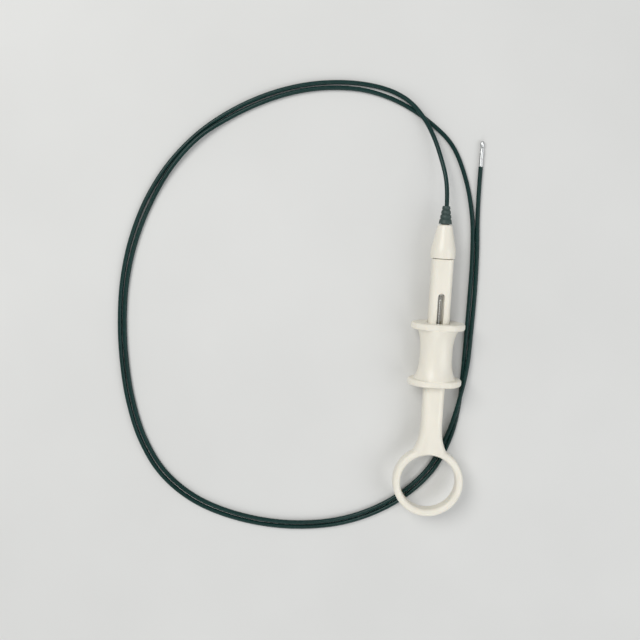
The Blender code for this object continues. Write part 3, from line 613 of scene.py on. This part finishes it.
def nose_cap():
    """Tapered cap on the spigot with a rounded front edge, stepped inside for ferrule and boot."""
    front = CAP_LENGTH
    corner_place = (CAP_FRONT_RADIUS - CAP_ROUNDING, front - CAP_ROUNDING)
    chamber_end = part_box("sheath_ferrule")[1].y - CAP_Y + FIT_GAP
    taper = []
    for i in range(CAP_TAPER_STEPS):
        share = i / CAP_TAPER_STEPS
        y = CAP_STRAIGHT_LENGTH + (front - CAP_ROUNDING - CAP_STRAIGHT_LENGTH) * share
        taper.append((between(CAP_REAR_RADIUS, CAP_FRONT_RADIUS, share), y))
    soft_end = taper[CAP_SHOULDER_STEPS]
    soft_start = (CAP_REAR_RADIUS, 2 * CAP_STRAIGHT_LENGTH - soft_end[1])
    profile = [
        (SPIGOT_RADIUS + FIT_GAP, 0),
        (CAP_REAR_RADIUS - CAP_EDGE, 0),
        *arc((CAP_REAR_RADIUS - CAP_EDGE, CAP_EDGE), CAP_EDGE, -pi / 2, 0, EDGE_STEPS)[1:],
        *round_off(soft_start, taper[0], soft_end),
        *taper[CAP_SHOULDER_STEPS + 1 :],
        *arc(corner_place, CAP_ROUNDING, CAP_CORNER_START, pi / 2, CAP_CORNER_STEPS),
        (BOOT_SPIGOT_RADIUS + FIT_GAP, front),
        (BOOT_SPIGOT_RADIUS + FIT_GAP, front - BOOT_SPIGOT_LENGTH - FIT_GAP),
        (SHEATH_RADIUS + RUN_GAP, front - BOOT_SPIGOT_LENGTH - FIT_GAP),
        (SHEATH_RADIUS + RUN_GAP, chamber_end),
        (FERRULE_RADIUS + FIT_GAP, chamber_end),
        (FERRULE_RADIUS + FIT_GAP, SPIGOT_LENGTH),
        (SPIGOT_RADIUS + FIT_GAP, SPIGOT_LENGTH),
    ]
    made = new_piece("nose_cap_moulding", turned(profile, CAP_STEPS), (0, CAP_Y, AXIS_Z))
    shade(made, 40)
    return made


def boot():
    """Soft tapered sleeve with rounded grooves, and a spigot plugged into the cap."""
    bore = SHEATH_RADIUS + BOOT_BORE_GAP

    def radius(y):
        return BOOT_REAR_RADIUS + (BOOT_FRONT_RADIUS - BOOT_REAR_RADIUS) * y / BOOT_LENGTH

    profile = [
        (bore, -BOOT_SPIGOT_LENGTH),
        (BOOT_SPIGOT_RADIUS, -BOOT_SPIGOT_LENGTH),
        (BOOT_SPIGOT_RADIUS, 0),
        *arc((radius(0) - BOOT_EDGE, BOOT_EDGE), BOOT_EDGE, -pi / 2, 0, BOOT_EDGE_STEPS),
    ]
    for i in range(BOOT_GROOVES):
        start = BOOT_LENGTH * (i + 1) / (BOOT_GROOVES + 1)
        for j in range(BOOT_GROOVE_STEPS + 1):
            share = j / BOOT_GROOVE_STEPS
            y = start - BOOT_EDGE + (BOOT_GROOVE_WIDTH + 2 * BOOT_EDGE) * share
            profile.append((radius(y) - BOOT_GROOVE_DEPTH * sin(pi * share) ** BOOT_GROOVE_POWER, y))
    rim = (radius(BOOT_LENGTH) - BOOT_EDGE, BOOT_LENGTH - BOOT_EDGE)
    profile += [*arc(rim, BOOT_EDGE, 0, pi / 2, BOOT_EDGE_STEPS), (bore, BOOT_LENGTH)]
    made = new_piece("boot_sleeve", turned(profile, BOOT_STEPS), (0, BOOT_END_Y - BOOT_LENGTH, AXIS_Z))
    shade(made, 60)
    return made


def turned_tube(name, radius, bore, length, edge, crimps, start_y):
    """A tube along the handle with rounded rims, and shallow crimps at the given places along it."""
    profile = [(bore, 0), *arc((radius - edge, edge), edge, -pi / 2, 0, EDGE_STEPS)]
    for place in crimps:
        for i in range(CRIMP_STEPS + 1):
            share = i / CRIMP_STEPS
            profile.append((radius - CRIMP_DEPTH * sin(pi * share), place + CRIMP_WIDTH * (share - 0.5)))
    profile += [*arc((radius - edge, length - edge), edge, 0, pi / 2, EDGE_STEPS), (bore, length)]
    made = new_piece(name, turned(profile, TUBE_STEPS), (0, start_y, AXIS_Z))
    shade(made, 50)
    return made


def stem_bush():
    """Long bush in the front of the stem, in which the wire pipe slides."""
    low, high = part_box("stem_guide")
    bore = PIPE_RADIUS + RUN_GAP
    return turned_tube("stem_bush", GUIDE_RADIUS, bore, high.y - low.y, GUIDE_EDGE, (), low.y)


def crimped_ferrule():
    """Ferrule on the sheath's rear end, crimped in three places."""
    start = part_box("sheath_ferrule")[0].y
    crimps = [FERRULE_LENGTH * share for share in FERRULE_CRIMPS]
    bore = SHEATH_RADIUS + FIT_GAP
    return turned_tube(
        "crimped_ferrule", FERRULE_RADIUS, bore, FERRULE_LENGTH, FERRULE_EDGE, crimps, start
    )


def pull_pipe():
    """Stiff tube on the rear end of the pull wire, crimped on it near the front."""
    low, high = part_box("wire_pipe")
    length = high.y - low.y
    crimps = [length - place for place in PIPE_CRIMPS]
    return turned_tube("pull_pipe", PIPE_RADIUS, PIPE_BORE, length, PIPE_EDGE, crimps, low.y)


def wire_anchor():
    """Metal block in the slider with broken edges, bored for the wire pipe and tapped for the screw."""
    at = (0, SLIDER_Y, AXIS_Z)
    width = (-ANCHOR_WIDTH / 2, ANCHOR_WIDTH / 2)
    length = (-ANCHOR_LENGTH / 2, ANCHOR_LENGTH / 2)
    height = (-ANCHOR_HALF_HEIGHT, ANCHOR_HALF_HEIGHT)
    made = new_piece("wire_anchor", block(width, length, height), at)
    edges = made.modifiers.new("edges", "BEVEL")
    edges.width = ANCHOR_EDGE
    edges.segments = 3
    combine(made, rod(PIPE_RADIUS + FIT_GAP, -ANCHOR_LENGTH, ANCHOR_LENGTH), at)
    combine(made, upright(rod(SCREW_RADIUS + FIT_GAP, 0, 2 * ANCHOR_HALF_HEIGHT)), at)
    settle(made)
    shade(made, 30)
    return made


def threaded_screw():
    """Slotted set screw with a real thread, which runs out at both flat ends."""
    low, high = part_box("anchor_screw")
    at = (0, SLIDER_Y, low.z)
    length = high.z - low.z
    columns = 48
    rows_per_turn = 12
    rows = round(length / THREAD_PITCH * rows_per_turn)
    sections = []
    for row in range(rows + 1):
        z = length * row / rows
        fade = min(1, z / THREAD_PITCH, (length - z) / THREAD_PITCH)
        ring = []
        for column in range(columns):
            phase = (z / THREAD_PITCH - column / columns) % 1
            depth = THREAD_DEPTH * (1 - fade * (1 - abs(2 * phase - 1)))
            radius = SCREW_RADIUS - depth
            ring.append((radius * cos(tau * column / columns), radius * sin(tau * column / columns), z))
        sections.append(ring)
    made = new_piece("threaded_screw", loft(sections), at)
    across = (-2 * SCREW_RADIUS, 2 * SCREW_RADIUS)
    combine(made, block(across, (-SCREW_SLOT / 2, SCREW_SLOT / 2), (length - 2 * SCREW_SLOT, 2 * length)), at)
    settle(made)
    shade(made, 40)
    return made


def curve_point(before, start, end, after, share):
    """A point of the centripetal Catmull-Rom curve between start and end."""
    knots = [0.0]
    for a, b in ((before, start), (start, end), (end, after)):
        knots.append(knots[-1] + sqrt((b - a).length))
    t = knots[1] + (knots[2] - knots[1]) * share

    def blend(a, b, low, high):
        return a * ((high - t) / (high - low)) + b * ((t - low) / (high - low))

    first = blend(before, start, knots[0], knots[1])
    second = blend(start, end, knots[1], knots[2])
    third = blend(end, after, knots[2], knots[3])
    early = blend(first, second, knots[0], knots[2])
    late = blend(second, third, knots[1], knots[3])
    return blend(early, late, knots[1], knots[2])


def smooth_route(route, longest):
    """Points on a smooth curve through the route, about longest apart at most, none below the floor."""
    points = [Vector(p) for p in route]
    ends = [2 * points[0] - points[1]] + points + [2 * points[-1] - points[-2]]
    smooth = []
    for before, start, end, after in zip(ends, ends[1:], ends[2:], ends[3:]):
        count = ceil((end - start).length / longest)
        smooth += [curve_point(before, start, end, after, i / count) for i in range(count)]
    for point in smooth:
        point.z = max(point.z, FLOOR_Z)
    return smooth + [points[-1]]


def tube_along(name, points, radius, sides):
    """A round tube along the points, whose UV map holds the way round and the length along in metres."""
    tube = bmesh.new()
    uv_map = tube.loops.layers.uv.new("along")
    rings = []
    lengths = [0.0]
    side = Vector((1, 0, 0))
    for i, point in enumerate(points):
        heading = (points[min(i + 1, len(points) - 1)] - points[max(i - 1, 0)]).normalized()
        side = (side - heading * side.dot(heading)).normalized()
        over = heading.cross(side)
        ring = []
        for j in range(sides):
            turn = tau * j / sides
            ring.append(tube.verts.new(point + radius * (cos(turn) * side + sin(turn) * over)))
        rings.append(ring)
        if i:
            lengths.append(lengths[-1] + (point - points[i - 1]).length)
    for i, (ring, following) in enumerate(zip(rings, rings[1:])):
        for j in range(sides):
            k = (j + 1) % sides
            face = tube.faces.new((ring[j], ring[k], following[k], following[j]))
            places = ((j, i), (j + 1, i), (j + 1, i + 1), (j, i + 1))
            for loop, (around, along) in zip(face.loops, places):
                loop[uv_map].uv = (around / sides, lengths[along])
    tube.faces.new(rings[0])
    tube.faces.new(rings[-1])
    made = new_piece(name, tube)
    shade(made, 60)
    return made


def egg(radius, start, end):
    """A blunt egg turned about Y, from start to end."""
    middle, half = (start + end) / 2, (end - start) / 2
    profile = []
    for i in range(CUP_STEPS + 1):
        share = -cos(pi * i / CUP_STEPS)
        fullness = max(0.0, 1 - abs(share) ** CUP_SQUARENESS) ** (1 / CUP_SQUARENESS)
        profile.append((radius * fullness, middle + half * share))
    return turned(profile, TIP_STEPS)


def eye_place(side):
    """Where a cup's tail eye is, from the pivot. The left cup's tail crosses to the right."""
    return Vector((-side * TAIL_LENGTH * sin(TAIL_ANGLE), -TAIL_LENGTH * cos(TAIL_ANGLE), 0))


def layer(level, bottom, top):
    """A height range above the middle plane, or its mirror image below it."""
    return sorted((level * bottom, level * top))


def link_layer():
    """Bottom and top of a link's flat eye, from the middle plane."""
    bottom = TIP_LAYER_GAP / 2 + TAIL_THICKNESS + TIP_LAYER_GAP
    return bottom, bottom + LINK_EYE_THICKNESS


def tip_collar():
    """Tube between the sheath and the housing, slightly chamfered at both ends."""
    start = -HOUSING_REAR - COLLAR_GAP - COLLAR_LENGTH
    profile = [(TIP_BORE, start)]
    for i in range(COLLAR_ROWS + 1):
        share = i / COLLAR_ROWS
        from_end = min(share, 1 - share) / COLLAR_CHAMFER_SHARE
        dip = COLLAR_CHAMFER * max(1 - from_end, 0)
        profile.append((COLLAR_RADIUS - dip, start + COLLAR_LENGTH * share))
    profile.append((TIP_BORE, start + COLLAR_LENGTH))
    made = new_piece("tip_collar_tube", turned(profile, TIP_STEPS), PIVOT)
    shade(made, 50)
    return made


def tip_housing():
    """Forked housing with two cheeks that hold the pin."""
    made = new_piece("tip_clevis", rod(HOUSING_RADIUS, -HOUSING_REAR, HOUSING_NOSE, TIP_STEPS), PIVOT)
    wide = 2 * HOUSING_RADIUS
    nose = arc((0, 0), HOUSING_NOSE, 0, pi, NOSE_STEPS)
    outline = [(-wide, 0), (-wide, -2 * HOUSING_REAR), (wide, -2 * HOUSING_REAR), (wide, 0), *nose]
    combine(made, prism(outline, -wide, wide), PIVOT, "INTERSECT")
    opening = (-FORK_HALF_OPENING, FORK_HALF_OPENING)
    combine(made, block((-wide, wide), (-FORK_DEPTH, wide), opening), PIVOT)
    combine(made, rod(TIP_BORE, -2 * HOUSING_REAR, -FORK_DEPTH + TIP_BORE), PIVOT)
    combine(made, upright(rod(PIN_RADIUS + TIP_GAP, -wide, wide)), PIVOT)
    soften(made, voxel=0.00002, rounds=2, share=0.35)
    return made


def pivot_pin():
    """Pin on which both cups turn, with peened ends."""
    dome = [
        (PIN_RADIUS * cos(turn), PIN_HALF_LENGTH - PIN_DOME + PIN_DOME * sin(turn))
        for turn in quarter(DOME_STEPS)
    ]
    profile = [(r, -y) for r, y in reversed(dome)] + dome
    made = new_piece("pivot_pin_peened", upright(turned(profile, TIP_STEPS)), PIVOT)
    made.data.shade_smooth()
    return made


def biting_cup(name, side, level):
    """A hollow cup with an oval window, and its flat arm, hub and tail in one layer of the fork."""
    made = new_piece(name, egg(CUP_RADIUS, CUP_REAR, CUP_REAR + CUP_LENGTH), PIVOT)
    eye = eye_place(side)
    flat = layer(level, TIP_LAYER_GAP / 2, TIP_LAYER_GAP / 2 + TAIL_THICKNESS)
    arm = tapered_bar((0, 0), HUB_RADIUS, (side * ARM_SIDE, ARM_REACH), ARM_END_RADIUS)
    combine(made, prism(arm, *flat), PIVOT, "UNION")
    tail = tapered_bar((0, 0), HUB_RADIUS, eye, TAIL_EYE_RADIUS)
    combine(made, prism(tail, *flat), PIVOT, "UNION")
    hollow = egg(CUP_RADIUS - CUP_WALL, CUP_REAR + CUP_WALL, CUP_REAR + CUP_LENGTH - CUP_WALL)
    combine(made, hollow, PIVOT)
    reach = CUP_REAR + CUP_LENGTH
    other_half = sorted((side * CUP_MEETING_GAP, -side * reach))
    combine(made, block(other_half, (HUB_RADIUS + CUP_WALL, 2 * reach), (-reach, reach)), PIVOT)
    window = upright(rod(WINDOW_HALF_WIDTH, 0, 2 * CUP_RADIUS))
    rotate(window, side * pi / 2, "Y")
    bmesh.ops.scale(window, vec=(1, WINDOW_HALF_LENGTH / WINDOW_HALF_WIDTH, 1), verts=window.verts)
    combine(made, window, PIVOT + Vector((0, CUP_REAR + CUP_LENGTH / 2, 0)))
    combine(made, upright(rod(PIN_RADIUS + TIP_GAP, -reach, reach)), PIVOT)
    combine(made, upright(rod(RIVET_RADIUS + TIP_GAP, -reach, reach)), PIVOT + eye)
    soften(made, voxel=0.000016, rounds=2, share=0.4)
    return made


def link(name, side, level):
    """Thin pull rod: a flat eye on the rivet, a bend towards the middle plane, and a round wire."""
    at = PIVOT + eye_place(side)
    bottom, top = link_layer()
    last = LINK_EYE_STEPS - 1
    eye = arc((0, 0), LINK_EYE_RADIUS, 0, tau * last / LINK_EYE_STEPS, last)
    made = new_piece(name, prism(eye, *layer(level, bottom, top)), at)
    low = LINK_RADIUS + TIP_LAYER_GAP
    high = (bottom + top) / 2
    thin = LINK_EYE_THICKNESS / 2
    heading = Vector((side * sin(LINK_ANGLE), -cos(LINK_ANGLE)))
    sideways = Vector((heading.y, -heading.x))
    sections = []
    for i in range(LINK_STEPS + 1):
        along = LINK_STEM_START + (LINK_LENGTH - LINK_STEM_START) * i / LINK_STEPS
        share = ease(min(max((along - LINK_STRAIGHT) / (LINK_BEND_END - LINK_STRAIGHT), 0), 1))
        height = between(high, low, share)
        half = between(thin, LINK_RADIUS, share)
        ring = []
        for j in range(LINK_SIDES):
            turn = tau * (j + 0.5) / LINK_SIDES
            place = heading * along + sideways * LINK_RADIUS * cos(turn)
            ring.append((place.x, place.y, level * (height + half * sin(turn))))
        sections.append(ring)
    combine(made, loft(sections), at, "UNION")
    combine(made, upright(rod(RIVET_RADIUS + TIP_GAP, -CUP_RADIUS, CUP_RADIUS)), at)
    soften(made, voxel=0.000012, rounds=1, share=0.5)
    return made


def rivet(name, side, level):
    """Rivet through a tail's eye and a link's eye, with its rounded head on the link."""
    seat = link_layer()[1] + TIP_LAYER_GAP / 2
    head = [
        (RIVET_HEAD_RADIUS * cos(turn), seat + RIVET_HEAD_THICKNESS * sin(turn) ** RIVET_HEAD_POWER)
        for turn in quarter(DOME_STEPS)
    ]
    profile = [(0, TIP_LAYER_GAP), (RIVET_RADIUS, TIP_LAYER_GAP), (RIVET_RADIUS, seat), *head]
    shape = upright(turned(profile, TIP_STEPS))
    bmesh.ops.scale(shape, vec=(1, 1, level), verts=shape.verts)
    made = new_piece(name, shape, PIVOT + eye_place(side))
    shade(made, 50)
    return made


class Nodes:
    """A node tree, with short calls for the nodes used here."""

    def __init__(self, tree):
        self.tree = tree

    def add(self, kind, links=None, **settings):
        node = self.tree.nodes.new(kind)
        for key, value in settings.items():
            setattr(node, key, value)
        for socket, value in (links or {}).items():
            if isinstance(value, bpy.types.NodeSocket):
                self.tree.links.new(value, node.inputs[socket])
            else:
                node.inputs[socket].default_value = value
        return node

    def math(self, operation, a, b=0.0):
        return self.add("ShaderNodeMath", {0: a, 1: b}, operation=operation).outputs[0]

    def place(self):
        return self.add("ShaderNodeTexCoord").outputs["Object"]

    def noise(self, scale, detail=2.0, stretch=None):
        """Noise from 0 to 1, with scale features a metre."""
        where = self.place()
        if stretch:
            where = self.add("ShaderNodeMapping", {"Vector": where, "Scale": stretch}).outputs["Vector"]
        links = {"Vector": where, "Scale": scale, "Detail": detail}
        return self.add("ShaderNodeTexNoise", links).outputs["Fac"]

    def spread(self, value, low, high, start=0.3, end=0.7):
        """A value from start to end, mapped from low to high."""
        links = {"Value": value, "From Min": start, "From Max": end, "To Min": low, "To Max": high}
        return self.add("ShaderNodeMapRange", links).outputs["Result"]

    def tint(self, value, colour_a, colour_b):
        """A colour that turns from one to the other as the value passes the middle."""
        ramp = self.add("ShaderNodeValToRGB", {"Fac": value})
        for element, position, colour in zip(ramp.color_ramp.elements, (0.35, 0.65), (colour_a, colour_b)):
            element.position = position
            element.color = (*colour, 1)
        return ramp.outputs["Color"]

    def bump(self, height, distance, under=None):
        links = {"Height": height, "Distance": distance, "Strength": 1.0}
        if under:
            links["Normal"] = under
        return self.add("ShaderNodeBump", links).outputs["Normal"]

    def seen(self):
        """1 for what is seen directly, in a mirror or through glass, and 0 for light that falls on things."""
        path = self.add("ShaderNodeLightPath").outputs
        mirrored = self.math("MAXIMUM", path["Is Glossy Ray"], path["Is Transmission Ray"])
        return self.math("MAXIMUM", path["Is Camera Ray"], mirrored)

    def surface(self, share, shader_a, shader_b, output):
        """Give the tree's output the first shader, and the second by the share."""
        mix = self.add("ShaderNodeMixShader", {0: share, 1: shader_a, 2: shader_b})
        self.tree.links.new(mix.outputs[0], self.tree.nodes[output].inputs["Surface"])


class Finish(Nodes):
    """A material with a Principled shader."""

    def __init__(self, name, colour, roughness, metallic=0.0):
        self.material = bpy.data.materials.new(name)
        self.material.use_nodes = True
        self.material.diffuse_color = (*colour, 1)
        super().__init__(self.material.node_tree)
        self.shader = self.tree.nodes["Principled BSDF"]
        self.set("Base Color", (*colour, 1))
        self.set("Roughness", roughness)
        self.set("Metallic", metallic)

    def set(self, socket, value):
        self.shader.inputs[socket].default_value = value

    def join(self, output, socket):
        self.tree.links.new(output, self.shader.inputs[socket])


def moulded_plastic(name, colour, roughness, parting_line=False):
    """Satin injection-moulded plastic: faint flow marks, uneven gloss and fine grain."""
    nodes = Finish(name, colour, roughness)
    flow = nodes.noise(220, detail=3.0, stretch=(1.0, 0.25, 1.0))
    darker = tuple(c * 0.965 for c in colour)
    lighter = tuple(min(c * 1.02, 1) for c in colour)
    nodes.join(nodes.tint(flow, darker, lighter), "Base Color")
    nodes.join(nodes.spread(nodes.noise(900), roughness - 0.05, roughness + 0.06), "Roughness")
    relief = nodes.bump(nodes.noise(9000), PLASTIC_GRAIN)
    if parting_line:
        level = nodes.add("ShaderNodeSeparateXYZ", {"Vector": nodes.place()}).outputs["Z"]
        off = nodes.math("ABSOLUTE", level)
        ridge = nodes.spread(off, 1.0, 0.0, start=0.0, end=PARTING_RIDGE_HALF_WIDTH)
        relief = nodes.bump(ridge, PARTING_RIDGE_HEIGHT, relief)
    nodes.join(relief, "Normal")
    nodes.set("Subsurface Weight", 0.12)
    nodes.set("Subsurface Radius", (0.6, 0.45, 0.3))
    nodes.set("Subsurface Scale", 0.0015)
    nodes.set("Specular IOR Level", 0.45)
    return nodes.material


def smooth_coat():
    """Glossy green coat on a wound coil, whose turns show through as faint ripples."""
    nodes = Finish("green_coat", COAT_GREEN, 0.26)
    along = nodes.add("ShaderNodeUVMap", uv_map="along").outputs["UV"]
    length = nodes.add("ShaderNodeSeparateXYZ", {"Vector": along}).outputs["Y"]
    wave = nodes.math("SINE", nodes.math("MULTIPLY", length, tau / COIL_PITCH))
    uneven = nodes.bump(nodes.noise(1400, detail=3.0), COAT_UNEVENNESS)
    nodes.join(nodes.bump(wave, COIL_RIPPLE, uneven), "Normal")
    nodes.join(nodes.tint(nodes.noise(60), COAT_DARKER, COAT_LIGHTER), "Base Color")
    nodes.join(nodes.spread(nodes.noise(500), 0.20, 0.33), "Roughness")
    nodes.set("Specular IOR Level", 0.21)
    return nodes.material


def soft_rubber():
    """Satin thermoplastic rubber of the strain relief."""
    nodes = Finish("boot_rubber", RUBBER_GREEN, 0.5)
    nodes.join(nodes.bump(nodes.noise(7000, detail=3.0), RUBBER_GRAIN), "Normal")
    nodes.join(nodes.spread(nodes.noise(800), 0.42, 0.58), "Roughness")
    return nodes.material


def worked_metal(name, colour, roughness, stretch):
    """Metal with fine drawing or turning marks, drawn out along the axes where stretch is small."""
    nodes = Finish(name, colour, roughness, metallic=1.0)
    marks = nodes.noise(14000, detail=3.0, stretch=stretch)
    nodes.join(nodes.bump(marks, STEEL_MARKS), "Normal")
    nodes.join(nodes.spread(marks, roughness - 0.05, roughness + 0.07), "Roughness")
    darker = tuple(c * 0.94 for c in colour)
    nodes.join(nodes.tint(nodes.noise(5200), darker, colour), "Base Color")
    return nodes.material


def dress(piece, body, slot, finish, *nodes):
    """Material, body and replaced nodes of a finished piece. The slot is not used."""
    piece.data.materials.clear()
    piece.data.materials.append(finish)
    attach(piece, body)
    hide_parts(*nodes)


def camera_place():
    """The eye's place, above the point of the floor that the image's centre shows."""
    return CAMERA_TO_FLOOR * Vector((0, sin(CAMERA_TILT), cos(CAMERA_TILT)))


def see_pixel(pixel, level):
    """The point at that level seen at a pixel, from the floor's point at the image's centre."""
    back = Vector((0, sin(CAMERA_TILT), cos(CAMERA_TILT)))
    up = Vector((0, cos(CAMERA_TILT), -sin(CAMERA_TILT)))
    half = FRAME_PIXELS / 2
    ray = (pixel[0] - half) * Vector((1, 0, 0)) + (half - pixel[1]) * up - FOCAL_PIXELS * back
    eye = camera_place()
    return eye + ray * (level - eye.z) / ray.z


def add_camera():
    """The photograph's camera, placed by where it sees the thumb ring and the boot."""
    ring = see_pixel(RING_PIXEL, AXIS_Z)
    boot_end = see_pixel(BOOT_PIXEL, AXIS_Z)
    lean = atan2(boot_end.x - ring.x, boot_end.y - ring.y)
    turn = Matrix.Rotation(lean, 4, "Z")
    eye = camera_place()
    data = bpy.data.cameras.new("camera")
    data.sensor_width = SENSOR_WIDTH
    data.lens = SENSOR_WIDTH * FOCAL_PIXELS / FRAME_PIXELS
    data.clip_start = CLIP_START
    camera = bpy.data.objects.new("camera", data)
    camera.location = turn @ Vector((eye.x - ring.x, eye.y - ring.y, eye.z)) + Vector((0, RING_Y, 0))
    camera.rotation_euler = (-CAMERA_TILT, 0, lean)
    bpy.context.scene.collection.objects.link(camera)
    bpy.context.scene.camera = camera


def area_light(name, place, width, power, colour):
    """A square soft light that faces the object."""
    data = bpy.data.lights.new(name, "AREA")
    data.shape = "SQUARE"
    data.size = width
    data.energy = power
    data.color = colour
    made = bpy.data.objects.new(name, data)
    made.location = place
    facing = Vector(LIGHTS_FACE) - Vector(place)
    made.rotation_euler = facing.to_track_quat("-Z", "Y").to_euler()
    bpy.context.scene.collection.objects.link(made)


def add_floor():
    """Wide pale floor, which at a distance is seen in the colour of the surroundings."""
    grid = bmesh.new()
    bmesh.ops.create_grid(grid, x_segments=1, y_segments=1, size=FLOOR_HALF_WIDTH)
    floor = new_piece("floor", grid, (0, 0, -FLOOR_DROP))
    nodes = Finish("floor_paper", FLOOR_COLOUR, 0.75)
    nodes.join(nodes.tint(nodes.noise(12, detail=3.0), FLOOR_DARKER, FLOOR_LIGHTER), "Base Color")
    length = nodes.add("ShaderNodeVectorMath", {0: nodes.place()}, operation="LENGTH").outputs["Value"]
    far = nodes.spread(length, 0.0, 1.0, *FLOOR_FADE)
    glow = nodes.add("ShaderNodeEmission", {"Color": (*BACKDROP_COLOUR, 1), "Strength": 1.0})
    share = nodes.math("MULTIPLY", far, nodes.seen())
    nodes.surface(share, nodes.shader.outputs[0], glow.outputs[0], "Material Output")
    floor.data.materials.append(nodes.material)


def add_surroundings():
    """Pale surroundings: one strength as light, and the backdrop's colour where they are seen."""
    world = bpy.data.worlds.new("surroundings")
    world.use_nodes = True
    nodes = Nodes(world.node_tree)
    light = nodes.tree.nodes["Background"]
    light.inputs["Color"].default_value = (*SKY_COLOUR, 1)
    light.inputs["Strength"].default_value = SKY_STRENGTH
    backdrop = nodes.add("ShaderNodeBackground", {"Color": (*BACKDROP_COLOUR, 1), "Strength": 1.0})
    nodes.surface(nodes.seen(), light.outputs[0], backdrop.outputs[0], "World Output")
    bpy.context.scene.world = world


add_camera()

ivory = moulded_plastic("ivory_slider", IVORY, 0.34)
parted_ivory = moulded_plastic("ivory_moulding", IVORY, 0.34, parting_line=True)
acetal = moulded_plastic("white_bush", ACETAL, 0.42)
coat = smooth_coat()
rubber = soft_rubber()
bright = worked_metal("bright_steel_marks", BRIGHT_STEEL, 0.27, MARKS_ALONG_Y)
drawn = worked_metal("drawn_steel_marks", DRAWN_STEEL, 0.34, MARKS_ALONG_Y)
brass = worked_metal("brass_marks", BRASS, 0.32, MARKS_ALONG_X)

route = smooth_route(SHEATH_ROUTE, SHEATH_STEP)
sheath = tube_along("sheath_tube", route, SHEATH_RADIUS, SHEATH_SIDES)
dress(sheath, "root", "green_coat", coat, "sheath")

dress(handle_body(), "root", "ivory_plastic", parted_ivory, "handle_body")
dress(nose_cap(), "root", "ivory_plastic", parted_ivory, "nose_cap")
dress(boot(), "root", "green_rubber", rubber, "strain_relief_boot")
dress(slider_half("slider_top_moulding", 1), "slider", "ivory_plastic", ivory, "slider_top_half")
dress(slider_half("slider_bottom_moulding", -1), "slider", "ivory_plastic", ivory, "slider_bottom_half")

dress(stem_bush(), "root", "white_acetal", acetal, "stem_guide")
dress(crimped_ferrule(), "root", "drawn_steel", drawn, "sheath_ferrule")
dress(wire_anchor(), "slider", "brass", brass, "anchor_block")
dress(threaded_screw(), "slider", "drawn_steel", drawn, "anchor_screw")
dress(pull_pipe(), "slider", "bright_steel", bright, "wire_pipe")

collar = tip_collar()
dress(collar, "root", "bright_steel", bright, "tip_collar")
housing = tip_housing()
dress(housing, "root", "bright_steel", bright, "tip_housing")
pin = pivot_pin()
dress(pin, "jaw_pivot", "drawn_steel", drawn, "pivot_pin")
tip_pieces = [collar, housing, pin]
for word, side, level in (("left", -1, 1), ("right", 1, -1)):
    cup = biting_cup(f"{word}_biting_cup", side, level)
    dress(cup, f"{word}_jaw", "bright_steel", bright, f"{word}_cup")
    pull_link = link(f"{word}_pull_link", side, level)
    dress(pull_link, f"{word}_link_body", "drawn_steel", drawn, f"{word}_link")
    headed_rivet = rivet(f"{word}_headed_rivet", side, level)
    dress(headed_rivet, f"{word}_rivet_body", "drawn_steel", drawn, f"{word}_rivet")
    tip_pieces += [cup, pull_link, headed_rivet]

add_floor()
add_surroundings()
for light in LIGHTS:
    area_light(*light)
bpy.context.scene.view_settings.view_transform = "Standard"
